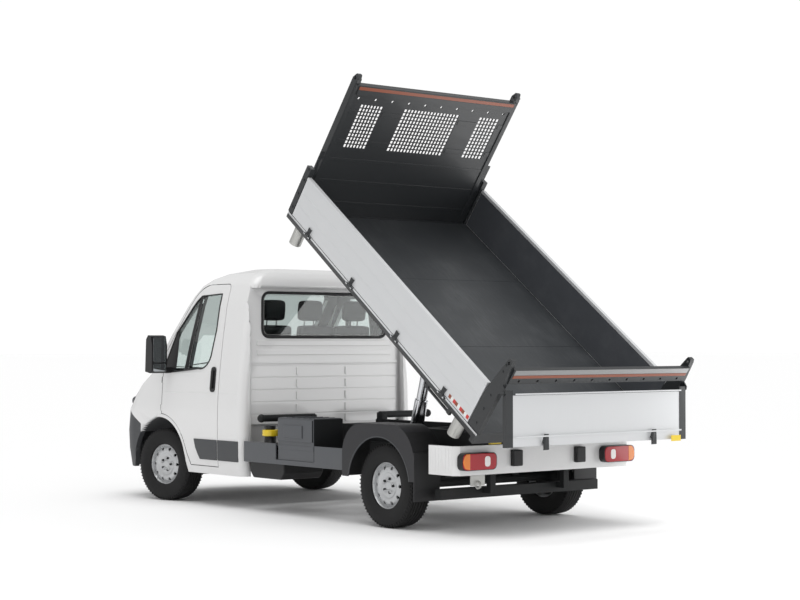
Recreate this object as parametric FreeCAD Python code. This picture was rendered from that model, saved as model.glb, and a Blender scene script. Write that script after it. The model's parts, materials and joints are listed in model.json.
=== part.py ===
import FreeCAD, Part
import math
import os

from FreeCAD import Vector

# Light chassis-cab lorry with a rear-tipping body, seen as it parks: the body is raised and its
# top-hung tailgate hangs plumb. Millimetres. +Z is up, the cab faces -Y and the left side is +X.
# Every piece is modelled with y measured rearwards from the front axle, and the whole is moved
# at the end so that the origin lies under the middle of its box.

# ---------------------------------------------------------------- driving dimensions
FIT = 0.3                      # running gap between touching pieces on different bodies
GAP = 5.0                      # open gap round doors, lids and drop sides

WHEELBASE = 3450.0
FRONT_TRACK = 1810.0
REAR_TRACK = 1790.0
TYRE_R = 348.5
TYRE_WIDTH = 225.0
TREAD_WIDTH = 176.0
RIM_SEAT_R = 192.0
RIM_FLANGE_R = 209.0
RIM_WIDTH = 166.0
RIM_WALL = 7.0
DISC_OFFSET = 58.0             # wheel disc outward of the rim's middle
HUB_R = 62.0
BRAKE_R = 142.0
KINGPIN_X = 740.0
REST_STEER = 11.5              # degrees, turned to the left as it parks

CAB_WALL = 50.0
CAB_REAR_Y = 1385.0
REAR_RECESS = 60.0             # the back panel lies this far inside the corner pillars
REAR_PANEL_WALL = 45.0
CAB_CORNER_R = 80.0
NOSE_ANGLE = math.radians(68)  # where the nose's corner arcs meet its flat front arc
ARCH_R = 458.0
DOOR_ARC_R = 496.0
FLOOR_Z = 520.0
FIREWALL_Y = -85.0
FLOOR_WALL = 40.0
SILL_Z = 300.0
GLASS_SET = 5.0
GLASS_THICK = 6.0

ENGINE_LOW = 400.0
RAIL_X = 390.0                 # inner face of the ladder frame's side rails
RAIL_WIDTH = 80.0
RAIL_LOW = 520.0
RAIL_TOP = 660.0
CAB_RAIL_LOW = 350.0
CAB_RAIL_TOP = FLOOR_Z - FLOOR_WALL
FRAME_REAR = WHEELBASE + 790.0
SUB_WIDTH = 60.0
SUB_TOP = 800.0

BED_LENGTH = 2900.0            # side boards
BED_HALF = 1040.0
BOARD = 28.0
BOARD_HEIGHT = 392.0
BED_TILT = 37.1                # degrees, as it is parked
HINGE_Y = WHEELBASE + 865.0
HINGE_Z = 844.0
HINGE_S = 120.0                # hinge ahead of the boards' rear end
HINGE_DROP = 170.0             # hinge below the boards' lower edge
REAR_FRAME = 140.0             # rear posts reach this far behind the boards
BALL_R = 38.0
SOCKET_R = 55.0
CROSS_TUBE_R = 32.0
HEADBOARD_TOP = 1235.0
HORN_TOP = 1415.0
REAR_HORN_TOP = 690.0
REAR_HORN_S = -112.0
SIDE_PIN_OUT = 14.0            # drop side's hinge pin outside the board's face
TAILGATE_PIN_S = -175.0
TAILGATE_PIN_H = 435.0
TAILGATE_DROP = 418.0          # from its pin down to its lower edge
GATE_THICK = 36.0
GATE_HALF = 1025.0
GATE_END = 75.0
PIN_R = 9.0

RAM_BASE = (HINGE_Y - 1695.0, 600.0)     # y and z of the barrel's trunnion
RAM_TOP_S = 1835.0             # rod eye, ahead of the boards' rear end
RAM_TOP_DROP = 76.0
RAM_STAGES = 4
RAM_R = 72.0
RAM_STEP = 12.0
RAM_BARREL_DOWN = 225.0
RAM_BARREL_UP = 165.0

REAR_FACE = HINGE_Y + 15.0     # rear face of the rear beam
BEAM_HALF = 1000.0
BEAM_LOW = 475.0
BEAM_TOP = 710.0
BEAM_WALL = 30.0
BEAM_RETURN = 330.0             # the beam's ends run this far forwards
BEAM_CHAMFER = 45.0


# ---------------------------------------------------------------- helpers
def box(x0, x1, y0, y1, z0, z1):
    return Part.makeBox(x1 - x0, y1 - y0, z1 - z0, Vector(x0, y0, z0))


def rod(start, end, radius):
    run = Vector(*end) - Vector(*start)
    return Part.makeCylinder(radius, run.Length, Vector(*start), run)


def ring(start, end, outer, inner):
    return rod(start, end, outer).cut(rod(start, end, inner))


def fuse(shapes):
    first, rest = shapes[0], shapes[1:]
    return first.multiFuse(rest).removeSplitter() if rest else first


def mirrored(shape):
    return shape.mirror(Vector(0, 0, 0), Vector(1, 0, 0))


def both_sides(shape):
    return Part.makeCompound([shape, mirrored(shape)])


def outline(points, place):
    """A flat face. Each step is (a, b), a straight run to that point, or
    (a, b, c, d), an arc through (a, b) to (c, d)."""
    edges = []
    here = points[0]
    for step in points[1:] + [points[0]]:
        end = step[-2:]
        if len(step) == 4:
            edges.append(Part.Arc(place(*here), place(*step[:2]), place(*end)).toShape())
        elif place(*here).distanceToPoint(place(*end)) > 1e-6:
            edges.append(Part.LineSegment(place(*here), place(*end)).toShape())
        here = end
    return Part.Face(Part.Wire(edges))


def side_prism(points, x0, x1):
    """Outline in (y, z), drawn out along x."""
    return outline(points, lambda y, z: Vector(x0, y, z)).extrude(Vector(x1 - x0, 0, 0))


def front_prism(points, y0, y1):
    """Outline in (x, z), drawn out along y."""
    return outline(points, lambda x, z: Vector(x, y0, z)).extrude(Vector(0, y1 - y0, 0))


def plan_prism(points, z0, z1):
    """Outline in (x, y), drawn out along z."""
    return outline(points, lambda x, y: Vector(x, y, z0)).extrude(Vector(0, 0, z1 - z0))


def turned(profile, middle):
    """A solid of revolution about an x line through (y, z); the profile is in (x, radius)."""
    y, z = middle
    face = outline(profile, lambda x, r: Vector(x, y, z + r))
    return face.revolve(Vector(0, y, z), Vector(1, 0, 0), 360)


def round_rect(half_a, low, high, radius):
    """Outline of a rectangle with round corners, from -half_a to half_a."""
    k = radius * (1 - math.sqrt(0.5))
    a, r = half_a, radius
    return [(-a + r, low), (a - r, low), (a - k, low + k, a, low + r),
            (a, high - r), (a - k, high - k, a - r, high),
            (-a + r, high), (-a + k, high - k, -a, high - r),
            (-a, low + r), (-a + k, low + k, -a + r, low)]


# ---------------------------------------------------------------- cab body
# height, half width, front at the middle, corner radius at the front, rear face, drop of the
# inner skin below the outer one
CAB_LEVELS = [
    (SILL_Z, 1000, -900, 330, CAB_REAR_Y, 0),
    (480, 1020, -935, 350, CAB_REAR_Y, 0),
    (660, 1022, -948, 350, CAB_REAR_Y, 0),
    (870, 1021, -915, 340, CAB_REAR_Y, 0),
    (1000, 1016, -815, 330, CAB_REAR_Y, 0),
    (1120, 1009, -690, 320, CAB_REAR_Y, 0),
    (1240, 998, -500, 300, CAB_REAR_Y, 0),
    (1600, 955, -200, 250, CAB_REAR_Y, 0),
    (1870, 915, 45, 220, CAB_REAR_Y, 0),
    (1975, 890, 150, 200, CAB_REAR_Y - 3, 0),
    (2070, 862, 265, 190, CAB_REAR_Y - 12, 10),
    (2130, 825, 400, 180, CAB_REAR_Y - 30, 20),
    (2180, 745, 560, 170, CAB_REAR_Y - 70, 32),
    (2222, 560, 760, 160, CAB_REAR_Y - 160, 42),
]


def cab_section(half, front, corner, rear, rear_corner, z):
    """Plan outline of the cab at one height: flat sides and back, round corners, bowed nose."""
    spread = half - corner
    side_end = front + corner + spread * (1 - math.sin(NOSE_ANGLE)) / math.cos(NOSE_ANGLE)
    nose_x = spread + corner * math.cos(NOSE_ANGLE)
    nose_y = side_end - corner * math.sin(NOSE_ANGLE)
    mid_x = spread + corner * math.cos(NOSE_ANGLE / 2)
    mid_y = side_end - corner * math.sin(NOSE_ANGLE / 2)
    r = rear_corner
    k = r * (1 - math.sqrt(0.5))
    points = [(half, side_end), (mid_x, mid_y, nose_x, nose_y), (0, front, -nose_x, nose_y),
              (-mid_x, mid_y, -half, side_end), (-half, rear - r),
              (-half + k, rear - k, -half + r, rear), (half - r, rear),
              (half - k, rear - k, half, rear - r)]
    return outline(points, lambda x, y: Vector(x, y, z)).OuterWire


def cab_form(inset, rear_inset, extra_low):
    """The cab's outer form, taken in by inset all round and by rear_inset at the back."""
    wires = []
    for z, half, front, corner, rear, drop in CAB_LEVELS:
        height = z - drop * inset / CAB_WALL
        if z == SILL_Z:
            height -= extra_low
        rear_corner = max(CAB_CORNER_R - inset, 20)
        wires.append(cab_section(half - inset, front + inset, corner - inset * 0.6,
                                 rear - rear_inset, rear_corner, height))
    return Part.makeLoft(wires, True, True)


CAB_OUT = cab_form(0, 0, 0)
CAB_IN = cab_form(CAB_WALL, REAR_RECESS + REAR_PANEL_WALL, 60)
CAB_SKIN = CAB_OUT.cut(CAB_IN)
GLASS_SKIN = cab_form(GLASS_SET, REAR_RECESS, 0).cut(
    cab_form(GLASS_SET + GLASS_THICK, REAR_RECESS + 1, 60))

DOOR_FRONT = 38.0
DOOR_REAR = 1003.0
DOOR_LOW = 375.0
DOOR_GAP = 7.0                   # the shut line round the doors
HINGE_AHEAD = 14.0               # hinge line ahead of the door's front edge
DOOR_HINGE = (1028.0, DOOR_FRONT - HINGE_AHEAD, 700.0)
DOOR_LEAN = math.radians(4.2)    # hinge line's lean inwards at the top
DOOR_BARRELS = [(865.0, 930.0), (1135.0, 1200.0)]
BARREL_R = 8.0
HINGE_POCKET_R = 20.0
PILLAR_FOOT = 1413.0             # height at which the door's front edge meets the screen pillar
DOOR_FLANGE = 20.0               # thickness of the door's rear and top edges
FLANGE_REACH = 45.0


def on_arc(radius, angle):
    """A point on an arc about the front axle, angle in degrees above the level, rearwards."""
    a = math.radians(angle)
    return (radius * math.cos(a), TYRE_R + radius * math.sin(a))


def door_outline(grow):
    """Side outline of the door, let out by grow for its opening."""
    r = DOOR_ARC_R - grow
    start = on_arc(r, 86)
    middle = on_arc(r, 60)
    end = on_arc(r, 31)
    g = grow
    return [(DOOR_FRONT - g, start[1]), (start[0], start[1]), (*middle, *end),
            (545 - g, DOOR_LOW - g), (DOOR_REAR + g, DOOR_LOW - g),
            (DOOR_REAR + g, 2010 + g), (DOOR_REAR - 14 + g, 2060 + g, 960, 2075 + g),
            (713, 2076 + g), (566 - g * 0.5, 2048 + g, 445 - g * 0.8, 1962 + g * 0.6),
            (DOOR_FRONT - g, PILLAR_FOOT)]


def window_outline(shrink):
    """Side outline of the door's window opening, taken in by shrink."""
    s = shrink
    return [(80 + s, 1243 + s), (640, 1290 + s), (785 - s, 1332 + s, 838 - s, 1440),
            (878 - s, 1640), (884 - s, 1980 - s), (560, 1966 - s), (500, 1925 - s), (215 + s, 1620),
            (80 + s, 1345)]


# the upright between the fixed quarter glass and the drop glass, in (y, z)
QUARTER_BAR = [(390, 1230), (455, 1230), (592, 2000), (548, 2000)]


def quarter_bar(grow):
    """That upright's prism, let out fore and aft by grow."""
    (a, b, c, d), g = QUARTER_BAR, grow
    return side_prism([(a[0] - g, a[1]), (b[0] + g, b[1]), (c[0] + g, c[1]), (d[0] - g, d[1])], 700, 1100)


def hinge_x(z):
    """X of the left door's hinge line at a height."""
    return DOOR_HINGE[0] - (z - DOOR_HINGE[2]) * math.tan(DOOR_LEAN)


def door_barrels(radius, shorter=0):
    """Hinge barrels of the left door, ahead of its front edge."""
    y = DOOR_HINGE[1]
    return [rod((hinge_x(low + shorter), y, low + shorter), (hinge_x(high - shorter), y, high - shorter),
                radius) for low, high in DOOR_BARRELS]


def hinge_pockets():
    """Room in the cab's side for the door's hinge leaves to turn in."""
    y = DOOR_HINGE[1]
    return [pocket.cut(box(900, 1100, y - 100, y - BARREL_R - 3, 0, 2000))
            for pocket in door_barrels(HINGE_POCKET_R, 3)]


def hinge_leaves():
    """Blocks on the door's front edge that clasp the barrels."""
    y = DOOR_HINGE[1]
    return [box(hinge_x(high) - 6, hinge_x(low) + 6, y + 4, DOOR_FRONT + 4, low + 5, high - 5)
            .cut(barrel) for (low, high), barrel in zip(DOOR_BARRELS, door_barrels(BARREL_R + FIT))]


SCREEN_TOP_Z = 2052.0
SCREEN_LOW_Z = 1272.0


def screen_outline(shrink):
    s = shrink
    return [(-868 + s, SCREEN_LOW_Z + s), (868 - s, SCREEN_LOW_Z + s),
            (775 - s, 1960), (700 - s, SCREEN_TOP_Z - s), (-700 + s, SCREEN_TOP_Z - s),
            (-775 + s, 1960)]


REAR_WINDOW = (728.0, 1590.0, 1985.0, 75.0)   # half width, lower and upper edge, corner radius
BUMPER_TOP = 862.0
LAMP = [(585, 890), (900, 842), (985, 880), (985, 1050), (840, 1052), (600, 975)]
BONNET_FRONT_Z = 1000.0
GRILLE_HALF = 790.0
GRILLE_SLOTS = (540.0, 893.0, 972.0)   # half width, lower and upper limit
BONNET_REAR_Z = 1212.0
BONNET_HALF = 760.0
BONNET_HINGE = (-538.0, 1216.0)   # y and z
BONNET_PIN_R = 6.0
BONNET_PIN_REACH = 60.0


def bumper_region(grow):
    g = grow
    return side_prism([(-1100, SILL_Z - 100), (-345 + g, SILL_Z - 100), (-345 + g, 728 + g),
                       (-600, BUMPER_TOP + g), (-1100, BUMPER_TOP + g)], -1100, 1100)


def lamp_region(grow):
    """Front-view outline of one headlamp, let out by grow."""
    cx = sum(p[0] for p in LAMP) / len(LAMP)
    cz = sum(p[1] for p in LAMP) / len(LAMP)
    pts = [(x + math.copysign(grow, x - cx), z + math.copysign(grow, z - cz)) for x, z in LAMP]
    return front_prism(pts, -1100, -380)


def grille_region(grow):
    """The whole nose panel between bumper, headlamps and bonnet."""
    g = grow
    return box(-GRILLE_HALF - g, GRILLE_HALF + g, -1100, -500,
               BUMPER_TOP + FIT - g, BONNET_FRONT_Z - GAP + g)


def bonnet_region(grow):
    g = grow
    return box(-BONNET_HALF - g, BONNET_HALF + g, -1000, -330, BONNET_FRONT_Z - g, BONNET_REAR_Z + g)


def arch_cut(radius, x0, x1):
    """Round arch with legs that flare out towards the ground."""
    rear = on_arc(radius, 33)
    legs = side_prism([(-rear[0], rear[1]), (rear[0], rear[1]), (radius + 58, SILL_Z - 80),
                       (-radius - 58, SILL_Z - 80)], x0, x1)
    return rod((x0, 0, TYRE_R), (x1, 0, TYRE_R), radius).fuse(legs)


HOUSE_WALL = 12.0
HOUSE_IN = 560.0
TOWER_Z = 725.0


def wheel_house():
    """Left front wheel house: an arched shell round the tyre, with the strut's tower."""
    room = arch_cut(ARCH_R, HOUSE_IN, 1100)
    shell = arch_cut(ARCH_R + HOUSE_WALL, HOUSE_IN - HOUSE_WALL, 1000).common(CAB_IN)
    shell = shell.cut(box(0, 1100, -700, 700, 0, SILL_Z))
    tower = rod((KINGPIN_X, 0, TOWER_Z), (KINGPIN_X, 0, TYRE_R + ARCH_R + 30), 70)
    return shell.cut(room).fuse(tower)


def cab_shell():
    x, low, high, radius = REAR_WINDOW
    back = CAB_REAR_Y - REAR_RECESS
    floor = box(-1100, 1100, -120, back, FLOOR_Z - FLOOR_WALL, FLOOR_Z).common(CAB_IN)
    wall = box(-1100, 1100, FIREWALL_Y - 35, FIREWALL_Y, FLOOR_Z, 1222).common(CAB_IN)
    cowl = box(-1100, 1100, -440, FIREWALL_Y, 1190, 1222).common(CAB_IN)
    riser = box(-900, 900, 1225, 1260, FLOOR_Z, 790)
    shelf = box(-900, 900, 1225, back, 780, 815)
    sill = box(890, 1100, 480, back, 340, FLOOR_Z).common(CAB_IN)
    inner = [floor, wall, cowl, riser, shelf, sill, mirrored(sill)]
    body = CAB_SKIN.multiFuse(inner)
    arch = arch_cut(ARCH_R, HOUSE_IN, 1100)
    body = body.cut(arch).cut(mirrored(arch))
    house = wheel_house()
    body = body.multiFuse([house, mirrored(house)])
    opening = side_prism(door_outline(DOOR_GAP), 700, 1100)
    cuts = [opening, mirrored(opening), bumper_region(FIT), lamp_region(FIT),
            mirrored(lamp_region(FIT)), grille_region(FIT), bonnet_region(GAP),
            front_prism(screen_outline(0), -700, 420),
            box(-905, 905, back, CAB_REAR_Y + 50, SILL_Z, 2035),
            box(-905, 905, back - 60, CAB_REAR_Y + 50, SILL_Z - 50, 780),
            front_prism(round_rect(x, low, high, radius), back - 100, back + 100)]
    for cutter in cuts:
        body = body.cut(cutter)
    for pocket in hinge_pockets():
        body = body.cut(pocket).cut(mirrored(pocket))
    barrels = door_barrels(BARREL_R)
    return body.multiFuse(barrels + [mirrored(s) for s in barrels] + [bonnet_pin(BONNET_PIN_R)])


def door():
    """Left door, as thick as the cab's side, with both its window openings."""
    window = side_prism(window_outline(0), 700, 1100)
    leaf = CAB_SKIN.common(side_prism(door_outline(0), 700, 1100)).cut(window.cut(quarter_bar(0)))
    edges = fuse([box(700, 1100, DOOR_REAR - FLANGE_REACH, DOOR_REAR + 100, 0, 2300),
                  box(700, 1100, 0, DOOR_REAR, 2076 - FLANGE_REACH, 2300)])
    inside = cab_form(DOOR_FLANGE, REAR_RECESS, 0).common(edges)
    for room in [arch_cut(ARCH_R + 8, HOUSE_IN, 1100), inside]:
        leaf = leaf.cut(room)
    return fuse([leaf] + hinge_leaves())


def door_glass():
    """Quarter glass and drop glass of the left door."""
    panes = GLASS_SKIN.common(side_prism(window_outline(FIT), 700, 1100))
    return panes.cut(quarter_bar(FIT))


def windscreen():
    return GLASS_SKIN.common(front_prism(screen_outline(FIT), -700, 420))


def rear_window():
    x, low, high, radius = REAR_WINDOW
    back = CAB_REAR_Y - REAR_RECESS - 12
    return front_prism(round_rect(x - FIT, low + FIT, high - FIT, radius), back - GLASS_THICK, back)


def headlamps():
    return both_sides(CAB_SKIN.common(lamp_region(0)))


def clear_of_lamps(shape, gap):
    return shape.cut(lamp_region(gap)).cut(mirrored(lamp_region(gap)))


def grille():
    """Dark panel between the headlamps, with slots across it."""
    half, low, high = GRILLE_SLOTS
    panel = clear_of_lamps(CAB_SKIN.common(grille_region(0)), FIT)
    slot, pitch = 12, 26
    for row in range(int((high - low - slot) // pitch)):
        z = low + slot + row * pitch
        panel = panel.cut(box(-half, half, -1100, -790, z, z + slot))
    return fuse([panel] + bonnet_rests())


def front_bumper():
    """Lower front moulding with its air intake and the flanks ahead of the wheels."""
    shell = clear_of_lamps(CAB_SKIN.common(bumper_region(0)), FIT)
    shell = shell.cut(arch_cut(ARCH_R, HOUSE_IN, 1100)).cut(mirrored(arch_cut(ARCH_R, HOUSE_IN, 1100)))
    intake_low, intake_high, slot, pitch = 400, 560, 34, 52
    for row in range(int((intake_high - intake_low) // pitch)):
        z = intake_low + row * pitch
        shell = shell.cut(box(-430, 430, -1100, -700, z, z + slot))
    return shell


def bonnet_pin(radius):
    """The bonnet's hinge pin in its rear shut line, let into the scuttle."""
    y, z = BONNET_HINGE
    return rod((-BONNET_PIN_REACH, y, z), (BONNET_PIN_REACH, y, z), radius)


def bonnet():
    lid = clear_of_lamps(CAB_SKIN.common(bonnet_region(0)), GAP * 1.5)
    return lid.cut(bonnet_pin(BONNET_PIN_R + FIT))


def bonnet_rests():
    """Stops on the nose panel that the closed bonnet's front edge lies on."""
    y = nose_y(BONNET_FRONT_Z) + CAB_WALL / 2
    return [box(x - 30, x + 30, y - 12, y + 12, BONNET_FRONT_Z - GAP - 8, BONNET_FRONT_Z - FIT)
            for x in (-400, 400)]


def nose_y(z):
    """Y of the cab's outer form at x = 0 and this height."""
    for low, high in zip(CAB_LEVELS, CAB_LEVELS[1:]):
        if low[0] <= z <= high[0]:
            return low[2] + (high[2] - low[2]) * (z - low[0]) / (high[0] - low[0])


def dashboard():
    front = FIREWALL_Y + FIT
    top = [(front, 850), (215, 850), (300, 930), (300, 1090), (150, 1190), (front, 1186)]
    return side_prism(top, -915, 915).cut(wheel_house_space()).common(CAB_IN)


def wheel_house_space():
    reach = ARCH_R + HOUSE_WALL + 2
    return rod((-1100, 0, TYRE_R), (1100, 0, TYRE_R), reach)


WHEEL_RIM_R = 195.0
WHEEL_CENTRE = (500.0, 385.0, 1235.0)
COLUMN_ANGLE = math.radians(28)


def steering_wheel():
    """Rim, three spokes and boss, on a column that runs down into the dashboard."""
    x, y, z = WHEEL_CENTRE
    axis = Vector(0, -math.cos(COLUMN_ANGLE), -math.sin(COLUMN_ANGLE))
    centre = Vector(x, y, z)
    rim = Part.makeTorus(WHEEL_RIM_R, 14, centre, axis)
    boss = Part.makeCylinder(48, 55, centre - axis * 15, axis)
    across = Vector(1, 0, 0)
    up = axis.cross(across)
    spokes = []
    for way in (across, across * -1, up * -1):
        spokes.append(Part.makeCylinder(12, WHEEL_RIM_R, centre, way))
    column = Part.makeCylinder(26, 330, centre, axis)
    column = column.cut(dashboard().translated(Vector(0, FIT, 0)))
    column = max(column.Solids, key=lambda solid: solid.BoundBox.YMax)
    return fuse([rim, boss, column] + spokes)


# x of the middle, width
SEAT_PLACES = [(495, 460), (-250, 880)]
HEAD_RESTS = {495: (495,), -250: (55, -480)}
SEAT_TOP = 1700.0
HEAD_TOP = 1930.0


def seats():
    """Driver's seat and the double bench, each a base, a cushion, a back and head rests."""
    made = []
    for middle, width in SEAT_PLACES:
        x0, x1 = middle - width / 2, middle + width / 2
        base = box(x0 + 40, x1 - 40, 640, 1050, FLOOR_Z, 770)
        cushion = side_prism([(560, 770), (1080, 770), (1080, 905), (600, 925), (560, 890)], x0, x1)
        back = side_prism([(975, 880), (1090, 860), (1170, SEAT_TOP - 20), (1150, SEAT_TOP),
                           (1085, SEAT_TOP), (1060, SEAT_TOP - 40)], x0, x1)
        pieces = [base, cushion, back]
        for head in HEAD_RESTS[middle]:
            pieces.append(side_prism([(1085, 1745), (1185, 1735), (1190, HEAD_TOP - 20),
                                      (1160, HEAD_TOP), (1115, HEAD_TOP)], head - 130, head + 130))
            for post in (-60, 60):
                pieces.append(rod((head + post, 1120, SEAT_TOP - 20),
                                  (head + post, 1135, 1760), 8))
        made.append(fuse(pieces))
    return Part.makeCompound(made)


MIRROR_FIT = 0.8               # between the mirror's arms and the bowed door skin
MIRROR_BACK = 85.0             # how far the mirror is set back along the door


def mirror():
    """Tall mirror housing on its arm, left side, carried by the door."""
    housing = side_prism([(10, 1250), (95, 1235), (130, 1262), (135, 1500), (110, 1590),
                          (60, 1600), (25, 1560)], 1075, 1245)
    arms = [box(940, 1080, 50, 100, 1238, 1262), box(940, 998, 46, 130, 1190, 1262),
            box(990, 1080, 60, 95, 1262 - FIT, 1290)]
    whole = fuse([housing] + arms).translated(Vector(0, MIRROR_BACK, 0))
    return whole.cut(CAB_OUT.translated(Vector(MIRROR_FIT, 0, 0)))


# ---------------------------------------------------------------- running gear
def tyre_profile():
    """Section of a tyre in (offset from its middle, radius)."""
    half, tread, bead = TYRE_WIDTH / 2, TREAD_WIDTH / 2, RIM_WIDTH / 2 - RIM_WALL
    bulge = (RIM_SEAT_R + TYRE_R) / 2 + 4
    return [(-bead, RIM_SEAT_R + FIT), (bead, RIM_SEAT_R + FIT), (bead, RIM_FLANGE_R + 6),
            (half - 6, bulge - 32, half, bulge), (half - 3, TYRE_R - 40, tread + 12, TYRE_R - 12),
            (tread, TYRE_R - 2), (tread - 30, TYRE_R), (-tread + 30, TYRE_R), (-tread, TYRE_R - 2),
            (-tread - 12, TYRE_R - 12), (-half + 3, TYRE_R - 40, -half, bulge),
            (-half + 6, bulge - 32, -bead, RIM_FLANGE_R + 6)]


def tyre(at):
    profile = tyre_profile()
    return turned(profile, (0, 0)).translated(Vector(*at))


VENT_COUNT = 10
VENT_R = 14.0
VENT_CIRCLE = 150.0
BOLT_COUNT = 5
BOLT_CIRCLE = 59.0
BOLT_R = 11.0
BORE_R = 39.0


def rim(at, outward):
    """Steel wheel: barrel with flanges, dished disc with round vents, and wheel bolts."""
    half, seat, wall = RIM_WIDTH / 2, RIM_SEAT_R, RIM_WALL
    face = DISC_OFFSET
    barrel = turned([(-half, RIM_FLANGE_R), (-half, seat - wall), (half, seat - wall),
                     (half, RIM_FLANGE_R), (half - wall, RIM_FLANGE_R), (half - wall, seat),
                     (-half + wall, seat), (-half + wall, RIM_FLANGE_R)], (0, 0))
    disc = turned([(face, BORE_R), (face + 9, BORE_R), (face + 9, 96), (face + 20, 116),
                   (face + 16, 150), (face - 6, 178), (face - 6, seat - wall), (face - 18, seat - wall),
                   (face - 18, 172), (face + 5, 144), (face + 8, 118), (face, 98)], (0, 0))
    for n in range(VENT_COUNT):
        a = 2 * math.pi * n / VENT_COUNT
        y, z = VENT_CIRCLE * math.cos(a), VENT_CIRCLE * math.sin(a)
        disc = disc.cut(rod((face - 40, y, z), (face + 40, y, z), VENT_R))
    bolts = []
    for n in range(BOLT_COUNT):
        a = 2 * math.pi * (n + 0.25) / BOLT_COUNT
        y, z = BOLT_CIRCLE * math.cos(a), BOLT_CIRCLE * math.sin(a)
        bolts.append(rod((face + 4, y, z), (face + 22, y, z), BOLT_R))
    cap = turned([(face + 2, 0), (face + 16, 0), (face + 16, BORE_R - 8), (face + 9, BORE_R),
                  (face + 2, BORE_R)], (0, 0))
    whole = fuse([barrel, disc, cap] + bolts)
    if outward < 0:
        whole = mirrored(whole)
    return whole.translated(Vector(*at))


def steered(shape, side):
    """Turned about the kingpin to the angle at which the truck stands."""
    turn = shape.copy()
    turn.rotate(Vector(side * KINGPIN_X, 0, 0), Vector(0, 0, 1), REST_STEER)
    return turn


def knuckle():
    """Left hub carrier, hub, brake disc and strut, straight ahead."""
    middle = FRONT_TRACK / 2
    hub_face = middle + DISC_OFFSET - FIT
    strut = rod((KINGPIN_X, 0, 265), (KINGPIN_X, 0, TOWER_Z - FIT), 27)
    spring = rod((KINGPIN_X, 0, 560), (KINGPIN_X, 0, TOWER_Z - 8), 46)
    arm = rod((KINGPIN_X, 0, TYRE_R), (middle, 0, TYRE_R), 40)
    hub = rod((middle - 20, 0, TYRE_R), (hub_face, 0, TYRE_R), HUB_R)
    disc = rod((middle - 40, 0, TYRE_R), (middle - 18, 0, TYRE_R), BRAKE_R)
    caliper = box(middle - 62, middle + 4, 80, 150, TYRE_R - 60, TYRE_R + 60)
    return fuse([strut, spring, arm, hub, disc, caliper])


def front_axle():
    """Cross member and the lower arms that carry the knuckles."""
    beam = box(-RAIL_X, RAIL_X, -60, 90, 240, CAB_RAIL_LOW + 40)
    pieces = [beam]
    for side in (1, -1):
        arm = plan_prism([(RAIL_X - 20, -90), (RAIL_X - 20, 150), (KINGPIN_X, 34),
                          (KINGPIN_X + 36, 0, KINGPIN_X, -34)], 235, 265 - FIT)
        pieces.append(arm if side > 0 else mirrored(arm))
    rails = box(RAIL_X, RAIL_X + RAIL_WIDTH, -800, 300, CAB_RAIL_LOW, 500)
    return fuse(pieces).cut(rails).cut(mirrored(rails))


def rear_axle():
    """Dead axle beam with its hubs and brake drums."""
    middle = REAR_TRACK / 2
    y = WHEELBASE
    pieces = [rod((-middle, y, TYRE_R), (middle, y, TYRE_R), 42)]
    for side in (1, -1):
        face = side * (middle + DISC_OFFSET - FIT)
        pieces.append(rod((side * (middle - 20), y, TYRE_R), (face, y, TYRE_R), HUB_R))
        pieces.append(rod((side * (middle - 45), y, TYRE_R), (side * (middle - 5), y, TYRE_R), BRAKE_R))
        pieces.append(box(side * RAIL_MID - 38, side * RAIL_MID + 38, y - 60, y + 60,
                          TYRE_R + 20, SPRING_SEAT_Z))
    return fuse(pieces)


RAIL_MID = RAIL_X + RAIL_WIDTH / 2
SPRING_SEAT_Z = 402.0
SPRING_REACH = 590.0
SPRING_EYE_Z = 452.0
LEAF = 24.0


def leaf_springs():
    y, z, t = WHEELBASE, SPRING_SEAT_Z, LEAF
    leaf = side_prism([(y - SPRING_REACH, SPRING_EYE_Z), (y, z, y + SPRING_REACH, SPRING_EYE_Z),
                       (y + SPRING_REACH, SPRING_EYE_Z + t), (y, z + t, y - SPRING_REACH, SPRING_EYE_Z + t)],
                      RAIL_MID - 32, RAIL_MID + 32)
    clamp = box(RAIL_MID - 38, RAIL_MID + 38, y - 55, y + 55, z + FIT, z + t + 22)
    eyes = [rod((RAIL_MID - 32, y + way * SPRING_REACH, SPRING_EYE_Z + t / 2),
                (RAIL_MID + 32, y + way * SPRING_REACH, SPRING_EYE_Z + t / 2), 26) for way in (-1, 1)]
    return both_sides(fuse([leaf, clamp] + eyes))


# ---------------------------------------------------------------- chassis
CROSS_MEMBERS = [1460, 2200, WHEELBASE - 490, WHEELBASE + 450, FRAME_REAR - 60]
NOSE_MEMBERS = [-760, -600, -250]
MEMBER = 60.0


def chassis_frame():
    """The ladder frame's two rails, stepped down beneath the cab, with the springs' hangers."""
    rail = box(RAIL_X, RAIL_X + RAIL_WIDTH, STEP_FRONT, FRAME_REAR, RAIL_LOW, RAIL_TOP)
    low = box(RAIL_X, RAIL_X + RAIL_WIDTH, NOSE_MEMBERS[0], STEP_REAR, CAB_RAIL_LOW, CAB_RAIL_TOP)
    step = box(RAIL_X, RAIL_X + RAIL_WIDTH, STEP_FRONT, STEP_REAR, CAB_RAIL_LOW, RAIL_TOP)
    hangers = [box(RAIL_MID - 36, RAIL_MID + 36, y - 34, y + 34, SPRING_EYE_Z + LEAF / 2 + 26 + FIT,
                   RAIL_LOW) for y in (WHEELBASE - SPRING_REACH, WHEELBASE + SPRING_REACH)]
    return both_sides(fuse([rail, low, step] + hangers))


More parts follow.
